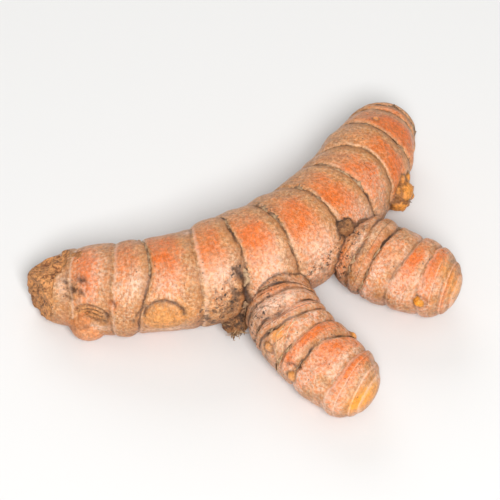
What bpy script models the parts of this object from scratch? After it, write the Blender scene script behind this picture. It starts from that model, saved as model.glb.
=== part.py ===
"""A turmeric root as picked: one rhizome with two daughter fingers, lying on a flat surface.

The plan is in millimetres. +X runs along the root to its growing end, the daughter fingers grow on its
-Y side, and +Z is up. The angle round a limb is 0 on top and 90 on its near side, which is -Y on the main
stem. The distance along a limb starts at its base, and a daughter's base is inside the stem that it
grew from.
"""

import math

import bmesh
import bpy
import numpy as np
from mathutils import noise

MM = 0.001

# Each limb's line, from its base to its tip: (x, y, z, radius).
MAIN_LINE = [
    (-43.5, -12.2, 8.3, 5.4),
    (-41.0, -13.6, 7.8, 6.6),
    (-38.2, -14.2, 6.9, 7.1),
    (-34.0, -14.9, 7.5, 7.9),
    (-25.8, -16.2, 8.9, 8.7),
    (-15.2, -16.9, 11.0, 9.5),
    (-3.0, -13.5, 12.0, 10.3),
    (9.5, -6.3, 12.2, 10.4),
    (18.6, 5.0, 11.2, 9.7),
    (24.8, 16.4, 9.7, 9.1),
    (27.4, 24.0, 7.7, 7.8),
    (28.5, 28.6, 6.2, 6.6),
    (29.0, 31.5, 5.0, 5.3),
]
NEAR_FINGER_LINE = [
    (2.3, -10.1, 11.3, 6.9),
    (6.5, -20.8, 9.8, 7.3),
    (9.5, -27.6, 8.7, 7.9),
    (12.2, -30.9, 8.1, 7.8),
    (15.4, -34.2, 7.6, 7.6),
    (18.7, -37.6, 7.1, 7.4),
    (22.1, -39.9, 6.7, 6.8),
    (25.1, -41.8, 6.3, 5.2),
]
FAR_FINGER_LINE = [
    (16.0, -1.8, 11.0, 5.6),
    (20.3, -6.2, 10.6, 5.8),
    (22.7, -7.9, 10.2, 7.6),
    (25.6, -9.2, 9.8, 8.2),
    (30.4, -11.4, 9.2, 8.1),
    (35.3, -13.6, 8.7, 7.5),
    (39.5, -15.4, 8.3, 6.4),
    (42.6, -16.8, 8.0, 5.0),
]

# Each leaf-scar ring: (distance along the limb, how far it swings towards the tip on top and on the near
# side, how deep it is cut compared with the others).
MAIN_RINGS = [
    (10.2, 0.3, 0.3, 0.5),
    (18.5, 0.8, 0.8, 0.6),
    (23.5, 3.1, 1.1, 1.2),
    (35.0, 0.1, -1.2, 0.7),
    (40.6, 3.1, 0.2, 1.5),
    (51.0, 0.4, 0.7, 1.1),
    (59.4, 2.4, 1.2, 1.4),
    (70.6, -0.7, 0.2, 1.4),
    (76.0, 2.2, 1.2, 1.4),
    (86.4, -1.1, 0.0, 1.6),
    (93.8, -0.2, -0.2, 1.6),
    (96.4, 0.0, 0.0, 1.2),
    (98.2, 0.0, 0.0, 1.0),
]
NEAR_FINGER_RINGS = [
    (12.0, -0.5, -0.8, 1.7),
    (13.5, -0.2, 0.2, 0.8),
    (16.6, 0.1, 0.4, 2.2),
    (19.2, 0.5, -0.8, 1.3),
    (23.1, 0.7, -0.9, 1.9),
    (27.3, 0.6, -1.2, 1.9),
    (33.9, -0.1, -0.3, 1.7),
    (37.4, 0.6, 0.8, 0.8),
    (38.9, 0.3, 0.4, 0.6),
]
FAR_FINGER_RINGS = [
    (7.4, 0.0, 0.0, 1.1),
    (10.4, -0.2, -0.6, 1.5),
    (13.6, 0.8, -1.2, 2.3),
    (19.3, 0.4, -1.0, 1.8),
    (24.9, -1.1, -0.5, 1.8),
    (28.5, -1.0, 0.4, 1.0),
    (30.0, -0.5, 0.5, 0.7),
]

RING_DEPTH = 0.27
RING_HALF_WIDTH = 0.70
RING_UNEVENNESS = 0.45
UNEVEN_SIZE = 0.8  # how soon a ring's depth changes round its limb, as a share of the radius
UNEVEN_LENGTH = 8.0  # the rings of two places this far apart differ in their own ways
LIP_HEIGHT = 0.13
LIP_OFFSET = 0.90
LIP_HALF_WIDTH = 0.55
RING_WANDER = 0.8
WANDER_LENGTH = 6.0  # the rings of two places this far apart wander in their own ways
STEADY_END = 6.0  # rings closer than this to a limb's end swing and wander less
JOINT_BULGE = 0.035  # how much a stretch between two rings swells, as a share of the radius
LUMP_HEIGHT = 0.55
LUMP_SIZE = 9.0
DENT_HEIGHT = 0.22
DENT_SIZE = 3.2

# Hollows and worn patches: (distance along, angle round, half length along, half width round, height).
MAIN_MARKS = [
    (11.0, 45, 2.4, 2.8, -0.6),
    (13.9, 82, 2.4, 2.0, -0.9),
    (18.2, 110, 5.0, 4.0, 1.5),
    (5.0, 150, 2.4, 3.0, -0.8),
    (5.0, 255, 2.6, 2.8, -0.7),
    (49.6, 250, 4.0, 3.2, -0.7),
    (70.1, 160, 3.0, 3.0, -0.5),
]
NEAR_FINGER_MARKS = [
    (17.0, 22, 1.1, 3.8, -0.7),
    (15.0, 18, 1.0, 6.0, 0.35),
    (22.0, 250, 3.0, 3.0, -0.5),
]
FAR_FINGER_MARKS = [
    (10.8, 30, 1.4, 3.4, -0.5),
    (20.0, 200, 2.6, 3.0, -0.4),
]

# Oval scars with a raised flat face: (distance along, angle round, half length, half width, height).
MAIN_SCARS = [
    (28.2, 80, 3.8, 3.3, 0.5),
    (34.3, 246, 2.8, 2.4, 0.6),
]

# Buds, stubs and broken-off fingers: (limb, distance along, angle round, radius, how far it stands
# proud, how far it leans to the tip, how blunt it is: 2 is a dome and 4 is flat-topped).
BUDS = {
    "end_lump": ("main", 13.5, 117, 4.3, 1.8, 0.1, 2.1),
    "pimple": ("main", 88.4, 0, 0.9, 0.5, 0.3, 2.0),
    "torn_scar": ("main", 80.4, 102, 2.8, 2.4, 0.1, 2.8),
    "curled_bud": ("main", 60.5, 56, 1.7, 1.2, 0.7, 2.0),
    "root_stub": ("main", 40.9, 124, 2.3, 3.0, 0.0, 3.0),
    "back_nub": ("main", 68.3, 254, 3.4, 3.0, 0.5, 2.2),
    "back_bud": ("main", 51.4, 270, 1.8, 1.2, 0.5, 2.0),
    "near_bud_1": ("near", 20.9, 68, 1.45, 0.6, 0.5, 2.0),
    "near_bud_2": ("near", 27.7, 84, 1.55, 0.7, 0.5, 2.0),
    "near_bud_3": ("near", 26.8, 286, 1.6, 0.9, 0.6, 2.0),
    "far_bud_1": ("far", 25.7, 80, 1.35, 0.6, 0.5, 2.0),
    "far_bud_2": ("far", 15.2, 268, 1.7, 0.9, 0.5, 2.0),
}
BUD_ROOT = 2.2  # how far a bud's base is sunk in its limb, as a share of its radius
BUD_BASE_CAP = 0.3  # how long a bud's rounded base is, as a share of its radius
BUD_TIP_CAP = 0.6  # how far a bud's rounded tip reaches below its limb's surface, the same way
LONGEST_TIP_CAP = 0.9  # the most that it takes of the bud's whole length

# The two rough faces at the base, where the root was broken off: the middle of each, the way it faces,
# and its hollows and ridges, each (right, up, half width, half height, height), as seen from in front.
BREAKS = [
    (
        (-38.5, -14.5, 12.8),
        (-0.48, 0.26, 0.84),
        [(0.4, 1.6, 3.4, 1.3, -0.9), (-1.6, -2.6, 2.2, 1.8, -0.6), (2.6, -1.4, 1.6, 1.6, 0.4)],
    ),
    (
        (-41.9, -16.1, 6.5),
        (-0.86, -0.51, 0.05),
        [(-1.2, 1.8, 2.0, 1.6, -0.5), (1.8, -1.6, 1.8, 1.6, -0.4)],
    ),
]
BREAK_REACH = 15.0
BREAK_DEPTH = 12.0
BREAK_CELLS = 18
BREAK_ROUGHNESS = 0.5
BREAK_GRAIN = 2.4

# The rounded ends of each limb: (length, bluntness) of its base and of its tip.
CAPS = {
    "main": [(7.0, 2.3), (4.4, 2.4)],
    "near": [(2.0, 2.0), (5.2, 2.4)],
    "far": [(2.0, 2.0), (4.4, 2.6)],
}
CAP_FADE = 1.5  # the relief fades out over the last 1 / CAP_FADE of an end's rounding
SEEDS = {"main": 1, "near": 5, "far": 9, "bud": 20, "break": 40}
SEED_SHIFT = (17.3, -41.9, 23.7)

AROUND = {"main": 32, "near": 22, "far": 22, "bud": 10}
ROW_STEP = 3.0  # the longest gap between two rows of faces
RING_ROWS = [-1.4, -0.55, 0.0, 0.75, 1.9]  # rows of faces beside each ring, measured from it
CAP_ROWS = 5
SHORTEST_STEP = 0.3
LINE_SAMPLES = 300

FLOOR_CUT = 0.0  # everything below this height is worn flat where the root rests
FLOOR_BLOCK = 400.0

SKIN_COLOUR = (0.55, 0.27, 0.12, 1.0)
SKIN_ROUGHNESS = 0.55


def smooth_columns(points, samples):
    """A natural cubic spline through the points, every column of them, at evenly spread samples."""
    points = np.array(points, float)
    gaps = np.linalg.norm(np.diff(points[:, :3], axis=0), axis=1) ** 0.5
    knots = np.r_[0, np.cumsum(gaps)]
    last = len(knots) - 1
    system = np.eye(last + 1)
    bend = np.zeros((last + 1, points.shape[1]))
    for i in range(1, last):
        system[i, i - 1 : i + 2] = gaps[i - 1], 2 * (gaps[i - 1] + gaps[i]), gaps[i]
        slopes = np.diff(points[i - 1 : i + 2], axis=0) / gaps[i - 1 : i + 1, None]
        bend[i] = 6 * (slopes[1] - slopes[0])
    bend = np.linalg.solve(system, bend)
    t = np.linspace(0, knots[-1], samples)
    i = np.clip(np.searchsorted(knots, t, side="right") - 1, 0, last - 1)
    gap = gaps[i][:, None]
    before = (knots[i + 1] - t)[:, None] / gap
    after = 1 - before
    curve = (before**3 - before) * bend[i] + (after**3 - after) * bend[i + 1]
    return before * points[i] + after * points[i + 1] + curve * gap**2 / 6


def noise_at(points, size, seed):
    """Smooth noise from about -1 to 1 at each point, with lumps of that size."""
    shift = np.array(SEED_SHIFT) * seed
    return np.array([noise.noise(p) for p in points / size + shift])


def spread(table, along, angle, radius, power):
    """The sum of soft spots on a limb: domes for a power of 1, and flat-topped for more."""
    total = np.zeros_like(along)
    for at, round_at, half_long, half_wide, rise in table:
        across = (angle - math.radians(round_at) + math.pi) % (2 * math.pi) - math.pi
        away = ((along - at) / half_long) ** 2 + (across * radius / half_wide) ** 2
        total += rise * np.exp(-(away**power))
    return total


class Limb:
    """A stretch of rhizome that tapers along a curved line, with rings, marks and rounded ends."""

    def __init__(self, line, rings, marks, scars, around, caps, seed):
        self.samples = smooth_columns(line, LINE_SAMPLES)
        centre = self.samples[:, :3]
        self.along = np.r_[0, np.cumsum(np.linalg.norm(np.diff(centre, axis=0), axis=1))]
        self.length = self.along[-1]
        tangent = np.gradient(centre, axis=0)
        self.tangent = tangent / np.linalg.norm(tangent, axis=1)[:, None]
        side = np.cross(self.tangent, (0, 0, 1))
        self.side = side / np.linalg.norm(side, axis=1)[:, None]
        self.top = np.cross(self.side, self.tangent)
        self.rings = np.array(rings, float).reshape(-1, 4)
        self.marks = marks
        self.scars = scars
        self.around = around
        self.caps = caps  # (length, bluntness) of the base's end and of the tip's
        self.seed = seed

    def read(self, table, along):
        """A table of the line, such as its tangents, at these distances along it."""
        return np.stack([np.interp(along, self.along, column) for column in table.T], -1)

    def cap_share(self, along):
        """How much of the full radius the rounded ends leave, from 0 at an end to 1."""
        share = np.ones_like(along)
        for distance, (length, bluntness) in zip((along, self.length - along), self.caps):
            left = np.clip(1 - distance / length, 0, 1)
            share *= np.clip(1 - left**bluntness, 0, 1) ** (1 / bluntness)
        return share

    def rows(self):
        """Distances along the limb at which the surface has a row of corners."""
        (base, base_blunt), (tip, tip_blunt) = self.caps
        turn = np.linspace(0, math.pi / 2, CAP_ROWS + 1)[1:]
        ends = [base * (1 - np.cos(turn) ** (2 / base_blunt))]
        ends.append(self.length - tip * (1 - np.cos(turn) ** (2 / tip_blunt)))
        body = [at + step for at in self.rings[:, 0] for step in RING_ROWS]
        body = [at for at in body if base < at < self.length - tip]
        rows = np.unique(np.round(np.concatenate([*ends, body]), 3))
        rows = rows[rows < self.length - 0.001]
        kept = [rows[0]]
        for row in rows[1:]:
            near_end = row < base or row > self.length - tip
            if row - kept[-1] < SHORTEST_STEP and not near_end:
                continue
            fill = math.ceil((row - kept[-1]) / ROW_STEP)
            kept.extend(np.linspace(kept[-1], row, fill + 1)[1:])
        return np.array(kept)

    def swing(self, along, angle):
        """How far towards the tip a point of a row is moved, so that the rings lean and wander."""
        round_points = np.stack([np.cos(angle), np.sin(angle), along / WANDER_LENGTH], -1)
        moved = RING_WANDER * noise_at(round_points, 1.0, self.seed)
        if len(self.rings):
            moved += np.interp(along, self.rings[:, 0], self.rings[:, 1]) * np.cos(angle)
            moved += np.interp(along, self.rings[:, 0], self.rings[:, 2]) * np.sin(angle)
        return moved * np.clip(np.minimum(along, self.length - along) / STEADY_END, 0, 1)

    def relief(self, along, angle, radius):
        """Height of the rings, swellings and marks above the plain tapered surface."""
        height = np.zeros_like(along)
        round_points = np.stack([np.cos(angle), np.sin(angle), along / UNEVEN_LENGTH], -1)
        uneven = noise_at(round_points / UNEVEN_SIZE, 1.0, self.seed + 1)
        strength = 1 + RING_UNEVENNESS * uneven
        for at, _, _, depth in self.rings:
            groove = np.exp(-(((along - at) / RING_HALF_WIDTH) ** 2))
            lip = np.exp(-(((along - at - LIP_OFFSET) / LIP_HALF_WIDTH) ** 2))
            height += strength * depth * (LIP_HEIGHT * lip - RING_DEPTH * groove)
        if len(self.rings):
            stops = np.r_[0, self.rings[:, 0], self.length]
            part = np.interp(along, stops, np.arange(len(stops))) % 1
            height += JOINT_BULGE * radius * (np.sin(math.pi * part) - 0.5)
        height += spread(self.marks, along, angle, radius, 1)
        return height + spread(self.scars, along, angle, radius, 3)

    def surface(self, along, angle):
        """Points on the limb's surface."""
        moved = along + self.swing(along, angle)
        line = self.read(self.samples, moved)
        top, side = self.read(self.top, moved), self.read(self.side, moved)
        outward = np.cos(angle)[:, None] * top + np.sin(angle)[:, None] * side
        share = self.cap_share(along)
        plain = line[:, :3] + outward * (line[:, 3] * share)[:, None]
        lumps = LUMP_HEIGHT * noise_at(plain, LUMP_SIZE, self.seed + 2)
        lumps += DENT_HEIGHT * noise_at(plain, DENT_SIZE, self.seed + 3)
        height = (self.relief(along, angle, line[:, 3]) + lumps) * np.minimum(share * CAP_FADE, 1)
        return plain + outward * height[:, None]

    def solid(self, name):
        """The limb as a closed mesh object."""
        rows = self.rows()
        angles = np.arange(self.around) * 2 * math.pi / self.around
        along, angle = (grid.ravel() for grid in np.meshgrid(rows, angles, indexing="ij"))
        points = self.surface(along, angle)
        mesh = bmesh.new()
        corners = [mesh.verts.new(p * MM) for p in points]
        grid = np.arange(len(corners)).reshape(len(rows), self.around)
        for low, high in zip(grid[:-1], grid[1:]):
            for j in range(self.around):
                k = (j + 1) % self.around
                mesh.faces.new([corners[i] for i in (low[j], low[k], high[k], high[j])])
        for ring in (grid[0], grid[-1]):
            middle = mesh.verts.new(points[ring].mean(0) * MM)
            for j in range(self.around):
                ends = (corners[ring[j]], corners[ring[(j + 1) % self.around]])
                mesh.faces.new([middle, *ends])
        bmesh.ops.recalc_face_normals(mesh, faces=mesh.faces)
        return mesh_object(name, mesh)


def mesh_object(name, mesh):
    data = bpy.data.meshes.new(name)
    mesh.to_mesh(data)
    mesh.free()
    made = bpy.data.objects.new(name, data)
    bpy.context.scene.collection.objects.link(made)
    return made


def bud_limb(parent, at, round_at, radius, proud, lean, bluntness, seed):
    """A bud as a short limb that grows straight out of its parent and leans to the parent's tip."""
    along, angle = np.array([at]), np.array([math.radians(round_at)])
    foot = parent.surface(along, angle)[0]
    tangent = parent.read(parent.tangent, along)[0]
    inside = parent.read(parent.samples, along)[0, :3]
    outward = (foot - inside) / np.linalg.norm(foot - inside)
    way = outward + lean * tangent
    way /= np.linalg.norm(way)
    root = foot - way * radius * min(BUD_ROOT, np.linalg.norm(foot - inside) / radius)
    tip = foot + way * proud
    line = [(*point, radius) for point in (root, (root + tip) / 2, tip)]
    tip_cap = min(proud + BUD_TIP_CAP * radius, LONGEST_TIP_CAP * np.linalg.norm(tip - root))
    caps = [(BUD_BASE_CAP * radius, 2.0), (tip_cap, bluntness)]
    return Limb(line, [], [], [], AROUND["bud"], caps, seed)


def broken_off_part(middle, way, marks):
    """The space beyond a broken face, which is cut away from the base of the main stem."""
    way = np.array(way) / np.linalg.norm(way)
    right = np.cross((0, 0, 1), way)
    right /= np.linalg.norm(right)
    up = np.cross(way, right)
    steps = np.linspace(-BREAK_REACH, BREAK_REACH, BREAK_CELLS + 1)
    u, v = (grid.ravel() for grid in np.meshgrid(steps, steps, indexing="ij"))
    flat = np.array(middle) + u[:, None] * right + v[:, None] * up
    height = BREAK_ROUGHNESS * noise_at(flat, BREAK_GRAIN, SEEDS["break"])
    for at_u, at_v, half_u, half_v, rise in marks:
        height += rise * np.exp(-(((u - at_u) / half_u) ** 2) - ((v - at_v) / half_v) ** 2)
    front = flat + height[:, None] * way
    mesh = bmesh.new()
    grid = np.arange(len(flat)).reshape(BREAK_CELLS + 1, BREAK_CELLS + 1)
    corners = [mesh.verts.new(p * MM) for p in front]
    quads = np.stack([grid[:-1, :-1], grid[1:, :-1], grid[1:, 1:], grid[:-1, 1:]], -1)
    for quad in quads.reshape(-1, 4):
        mesh.faces.new([corners[i] for i in quad])
    rim = np.concatenate([grid[:-1, 0], grid[-1, :-1], grid[:0:-1, -1], grid[0, :0:-1]])
    back = [mesh.verts.new((flat[i] + BREAK_DEPTH * way) * MM) for i in rim]
    for j, i in enumerate(rim):
        k = (j + 1) % len(rim)
        mesh.faces.new([corners[i], corners[rim[k]], back[k], back[j]])
    mesh.faces.new(back)
    bmesh.ops.recalc_face_normals(mesh, faces=mesh.faces)
    return mesh_object("broken_off_part", mesh)


def skin_material():
    material = bpy.data.materials.new("skin")
    material.use_nodes = True
    shader = material.node_tree.nodes["Principled BSDF"]
    shader.inputs["Base Color"].default_value = SKIN_COLOUR
    shader.inputs["Roughness"].default_value = SKIN_ROUGHNESS
    return material


def join_solids(target, others, operation):
    """Applies a Boolean of the target with every other object, and removes those."""
    group = bpy.data.collections.new("joined")
    for other in others:
        group.objects.link(other)
    step = target.modifiers.new("join", "BOOLEAN")
    step.operation = operation
    step.operand_type = "COLLECTION"
    step.collection = group
    step.solver = "EXACT"
    graph = bpy.context.evaluated_depsgraph_get()
    result = bpy.data.meshes.new_from_object(target.evaluated_get(graph))
    target.modifiers.clear()
    target.data = result
    for other in others:
        bpy.data.objects.remove(other)
    bpy.data.collections.remove(group)


def floor_block():
    """The space under the surface that the root lies on."""
    mesh = bmesh.new()
    bmesh.ops.create_cube(mesh, size=FLOOR_BLOCK * MM)
    drop = (FLOOR_CUT - FLOOR_BLOCK / 2) * MM
    bmesh.ops.translate(mesh, verts=mesh.verts, vec=(0, 0, drop))
    return mesh_object("floor_block", mesh)


def centre_on_floor(root):
    """Puts the origin under the middle of the root, on the surface that it lies on."""
    corners = np.array([v.co for v in root.data.vertices])
    low, high = corners.min(0), corners.max(0)
    for vertex in root.data.vertices:
        vertex.co.x -= (low[0] + high[0]) / 2
        vertex.co.y -= (low[1] + high[1]) / 2
        vertex.co.z -= low[2]


def main():
    for old in list(bpy.data.objects):
        bpy.data.objects.remove(old)
    shapes = {
        "main": (MAIN_LINE, MAIN_RINGS, MAIN_MARKS, MAIN_SCARS),
        "near": (NEAR_FINGER_LINE, NEAR_FINGER_RINGS, NEAR_FINGER_MARKS, []),
        "far": (FAR_FINGER_LINE, FAR_FINGER_RINGS, FAR_FINGER_MARKS, []),
    }
    limbs = {
        name: Limb(*shape, AROUND[name], CAPS[name], SEEDS[name]) for name, shape in shapes.items()
    }
    root = limbs["main"].solid("rhizome")
    join_solids(root, [broken_off_part(*face) for face in BREAKS], "DIFFERENCE")
    grown = [limbs[name].solid(name) for name in ("near", "far")]
    for number, (name, (parent, *shape)) in enumerate(BUDS.items()):
        grown.append(bud_limb(limbs[parent], *shape, seed=SEEDS["bud"] + number).solid(name))
    join_solids(root, grown, "UNION")
    join_solids(root, [floor_block()], "DIFFERENCE")
    centre_on_floor(root)
    root.data.materials.clear()
    root.data.materials.append(skin_material())
    root.data.shade_smooth()


main()
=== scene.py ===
"""The look of the turmeric root: its skin, rings, scars, buds, dry scales and rootlets, on a pale floor.

The limbs are drawn again from the same values as the solid, with a finer mesh and the small relief that
the solid leaves out. Lengths are in millimetres until mesh_object turns them into metres. The angle round
a limb is 0 on top and 90 on its near side, and the distance along it starts at its base.
"""

import math
from contextlib import contextmanager

import bmesh
import bpy
import numpy as np
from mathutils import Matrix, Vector, kdtree, noise


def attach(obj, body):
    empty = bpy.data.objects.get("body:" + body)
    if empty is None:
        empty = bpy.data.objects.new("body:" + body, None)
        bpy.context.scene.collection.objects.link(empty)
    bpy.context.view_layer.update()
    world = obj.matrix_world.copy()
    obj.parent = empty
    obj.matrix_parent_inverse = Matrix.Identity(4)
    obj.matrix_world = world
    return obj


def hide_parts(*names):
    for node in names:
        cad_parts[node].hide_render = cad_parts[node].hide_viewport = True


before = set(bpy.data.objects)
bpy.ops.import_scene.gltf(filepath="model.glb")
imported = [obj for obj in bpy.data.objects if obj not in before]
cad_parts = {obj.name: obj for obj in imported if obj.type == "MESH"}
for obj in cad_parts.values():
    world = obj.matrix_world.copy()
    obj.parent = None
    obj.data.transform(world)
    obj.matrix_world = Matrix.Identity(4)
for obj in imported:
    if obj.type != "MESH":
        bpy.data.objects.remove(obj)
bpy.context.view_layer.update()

MM = 0.001

# The solid's own values. Each line point is (x, y, z, radius).
MAIN_LINE = [
    (-43.5, -12.2, 8.3, 5.4), (-41.0, -13.6, 7.8, 6.6), (-38.2, -14.2, 6.9, 7.1),
    (-34.0, -14.9, 7.5, 7.9), (-25.8, -16.2, 8.9, 8.7), (-15.2, -16.9, 11.0, 9.5),
    (-3.0, -13.5, 12.0, 10.3), (9.5, -6.3, 12.2, 10.4), (18.6, 5.0, 11.2, 9.7), (24.8, 16.4, 9.7, 9.1),
    (27.4, 24.0, 7.7, 7.8), (28.5, 28.6, 6.2, 6.6), (29.0, 31.5, 5.0, 5.3),
]
NEAR_FINGER_LINE = [
    (2.3, -10.1, 11.3, 6.9), (6.5, -20.8, 9.8, 7.3), (9.5, -27.6, 8.7, 7.9), (12.2, -30.9, 8.1, 7.8),
    (15.4, -34.2, 7.6, 7.6), (18.7, -37.6, 7.1, 7.4), (22.1, -39.9, 6.7, 6.8), (25.1, -41.8, 6.3, 5.2),
]
FAR_FINGER_LINE = [
    (16.0, -1.8, 11.0, 5.6), (20.3, -6.2, 10.6, 5.8), (22.7, -7.9, 10.2, 7.6), (25.6, -9.2, 9.8, 8.2),
    (30.4, -11.4, 9.2, 8.1), (35.3, -13.6, 8.7, 7.5), (39.5, -15.4, 8.3, 6.4), (42.6, -16.8, 8.0, 5.0),
]
ROW_SHIFT = (-0.27032, -6.48731)  # the middle of the solid's box before it was centred

# Rings: (distance along, how far it swings towards the tip on top and on the near side, depth as in the
# solid, how dark, how ragged).
MAIN_RINGS = [
    (10.2, 0.3, 0.3, 0.5, 0.2, 0.3), (18.5, 0.8, 0.8, 0.6, 0.4, 0.4), (23.5, 3.1, 1.1, 1.2, 0.8, 0.4),
    (35.0, 0.1, -1.2, 0.7, 0.35, 0.3), (40.6, 3.1, 0.2, 1.5, 1.0, 0.9), (51.0, 0.4, 0.7, 1.1, 0.75, 1.0),
    (59.4, 2.4, 1.2, 1.4, 0.85, 1.0), (70.6, -0.7, 0.2, 1.4, 0.95, 0.5), (76.0, 2.2, 1.2, 1.4, 0.7, 0.3),
    (86.4, -1.1, 0.0, 1.6, 0.95, 0.5), (93.8, -0.2, -0.2, 1.6, 0.9, 0.6), (96.4, 0.0, 0.0, 1.2, 0.7, 0.8),
    (98.2, 0.0, 0.0, 1.0, 0.6, 0.8),
]
NEAR_FINGER_RINGS = [
    (12.0, -0.5, -0.8, 1.7, 0.85, 0.5), (13.5, -0.2, 0.2, 0.8, 0.6, 0.4), (16.6, 0.1, 0.4, 2.2, 0.9, 0.5),
    (19.2, 0.5, -0.8, 1.3, 0.9, 0.6), (23.1, 0.7, -0.9, 1.9, 0.55, 0.5), (27.3, 0.6, -1.2, 1.9, 1.0, 1.0),
    (33.9, -0.1, -0.3, 1.7, 0.2, 0.4), (37.4, 0.6, 0.8, 0.8, 0.2, 0.3), (38.9, 0.3, 0.4, 0.6, 0.12, 0.2),
]
FAR_FINGER_RINGS = [
    (7.4, 0.0, 0.0, 1.1, 1.0, 0.7), (10.4, -0.2, -0.6, 1.5, 0.65, 0.7), (13.6, 0.8, -1.2, 2.3, 1.0, 0.7),
    (19.3, 0.4, -1.0, 1.8, 0.45, 0.5), (24.9, -1.1, -0.5, 1.8, 0.45, 0.5),
    (28.5, -1.0, 0.4, 1.0, 0.3, 0.2), (30.0, -0.5, 0.5, 0.7, 0.2, 0.2),
]

RING_DEPTH = 0.17
RING_HALF_WIDTH = 0.70
RING_UNEVENNESS = 0.45
UNEVEN_LENGTH = 8.0
LIP_HEIGHT = 0.06
LIP_OFFSET = 0.90
LIP_HALF_WIDTH = 0.55
RING_WANDER = 0.8
WANDER_LENGTH = 6.0
STEADY_END = 6.0
JOINT_BULGE = 0.035
LUMP_HEIGHT = 0.55
DENT_HEIGHT = 0.22

# Hollows and worn patches of the solid: (along, angle, half length, half width, height).
MAIN_MARKS = [
    (11.0, 45, 2.4, 2.8, -0.6), (13.9, 82, 2.4, 2.0, -0.9), (18.2, 110, 5.0, 4.0, 1.5),
    (5.0, 150, 2.4, 3.0, -0.8), (5.0, 255, 2.6, 2.8, -0.7), (49.6, 250, 4.0, 3.2, -0.7),
    (70.1, 160, 3.0, 3.0, -0.5),
]
NEAR_FINGER_MARKS = [
    (17.0, 22, 1.1, 3.8, -0.7), (15.0, 18, 1.0, 6.0, 0.35), (22.0, 250, 3.0, 3.0, -0.5),
]
FAR_FINGER_MARKS = [
    (10.8, 30, 1.4, 3.4, -0.5), (20.0, 200, 2.6, 3.0, -0.4),
]
# Oval scars with a raised flat face.
MAIN_SCARS = [
    (28.0, 81, 3.1, 2.7, 0.45), (34.3, 246, 2.8, 2.4, 0.6),
]

# Buds, stubs and broken-off fingers: (limb, along, angle, radius, how far it stands proud, lean,
# bluntness, then how yellow, corky, soiled, orange and rough it is, and how dark the painted shade in the
# crease round it is).
BUDS = {
    "end_lump": ("main", 13.5, 117, 4.3, 1.8, 0.1, 2.1, 0.10, 0.15, 0.2, 0.55, 0.08, 0.0),
    "pimple": ("main", 88.4, 0, 0.9, 0.5, 0.3, 2.0, 0.25, 0.0, 0.0, 0.5, 0.0, 0.5),
    "torn_scar": ("main", 80.4, 102, 2.8, 2.4, 0.1, 2.8, 0.90, 0.35, 0.1, 0.6, 0.80, 1.0),
    "curled_bud": ("main", 60.5, 56, 1.7, 1.2, 0.7, 2.0, 0.0, 0.7, 1.0, 0.0, 0.40, 1.0),
    "root_stub": ("main", 40.9, 124, 2.3, 3.0, 0.0, 3.0, 0.0, 0.9, 1.0, 0.0, 0.70, 1.0),
    "back_nub": ("main", 68.3, 254, 3.4, 3.0, 0.5, 2.2, 0.30, 0.1, 0.2, 0.40, 0.10, 0.8),
    "back_bud": ("main", 51.4, 270, 1.8, 1.2, 0.5, 2.0, 0.6, 0.0, 0.0, 0.3, 0.0, 0.6),
    "near_bud_1": ("near", 20.9, 68, 1.45, 0.6, 0.5, 2.0, 0.35, 0.1, 0.0, 0.2, 0.05, 0.7),
    "near_bud_2": ("near", 27.7, 84, 1.55, 0.7, 0.5, 2.0, 0.6, 0.1, 0.0, 0.2, 0.05, 0.7),
    "near_bud_3": ("near", 26.8, 286, 1.6, 0.9, 0.6, 2.0, 0.6, 0.0, 0.0, 0.2, 0.0, 0.6),
    "far_bud_1": ("far", 25.7, 80, 1.35, 0.6, 0.5, 2.0, 1.0, 0.0, 0.0, 0.3, 0.0, 0.5),
    "far_bud_2": ("far", 15.2, 268, 1.7, 0.9, 0.5, 2.0, 0.6, 0.0, 0.0, 0.3, 0.0, 0.6),
    "torn_bump_1": ("main", 78.8, 88, 1.3, 0.6, 0.2, 2.0, 0.8, 0.3, 0.0, 0.5, 0.40, 0.8),
    "torn_bump_2": ("main", 83.2, 90, 1.4, 0.7, 0.2, 2.0, 0.95, 0.2, 0.0, 0.5, 0.50, 0.9),
    "torn_bump_3": ("main", 81.0, 79, 1.0, 0.4, 0.2, 2.0, 0.6, 0.3, 0.0, 0.5, 0.30, 0.8),
    "torn_bump_4": ("main", 81.9, 105, 1.2, 2.7, 0.1, 2.0, 0.95, 0.2, 0.0, 0.6, 0.45, 1.0),
    "torn_bump_5": ("main", 79.3, 97, 1.1, 2.6, 0.1, 2.0, 0.8, 0.3, 0.0, 0.6, 0.45, 1.0),
    "torn_bump_6": ("main", 80.3, 109, 1.0, 2.8, 0.1, 2.0, 0.9, 0.2, 0.0, 0.6, 0.40, 1.0),
}
BUD_ROOT = 2.2
SMOOTH_BUD = 0.2  # a rougher bud is torn; a smoother one has scales
BUD_SCALES = (0.5, 0.95, 1.4)  # how far the scales' edges are from the tip, in radii
BUD_BASE_CAP = 0.3
BUD_TIP_CAP = 0.6
LONGEST_TIP_CAP = 0.9

# The two faces at the base where the root was broken off: the middle, the way it faces, and its hollows
# and ridges, each (right, up, half width, half height, height).
BREAKS = [
    (
        (-38.5, -14.5, 12.8),
        (-0.48, 0.26, 0.84),
        [(0.4, 1.6, 3.4, 1.3, -0.9), (-1.6, -2.6, 2.2, 1.8, -0.6), (2.6, -1.4, 1.6, 1.6, 0.4)],
    ),
    (
        (-41.9, -16.1, 6.5),
        (-0.86, -0.51, 0.05),
        [(-1.2, 1.8, 2.0, 1.6, -0.5), (1.8, -1.6, 1.8, 1.6, -0.4)],
    ),
]
BREAK_REACH = 15.0
BREAK_DEPTH = 12.0
BREAK_CELLS = 82
BREAK_ROUGHNESS = 0.5
BREAK_GRAIN = 2.4
BREAK_RIDGES = 0.40
BREAK_CRUMBS = 0.12
BREAK_LEAN = ((0.32, 0.20), (-0.5, 1.0))  # how the torn wood's ridges are stretched across the face

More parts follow.
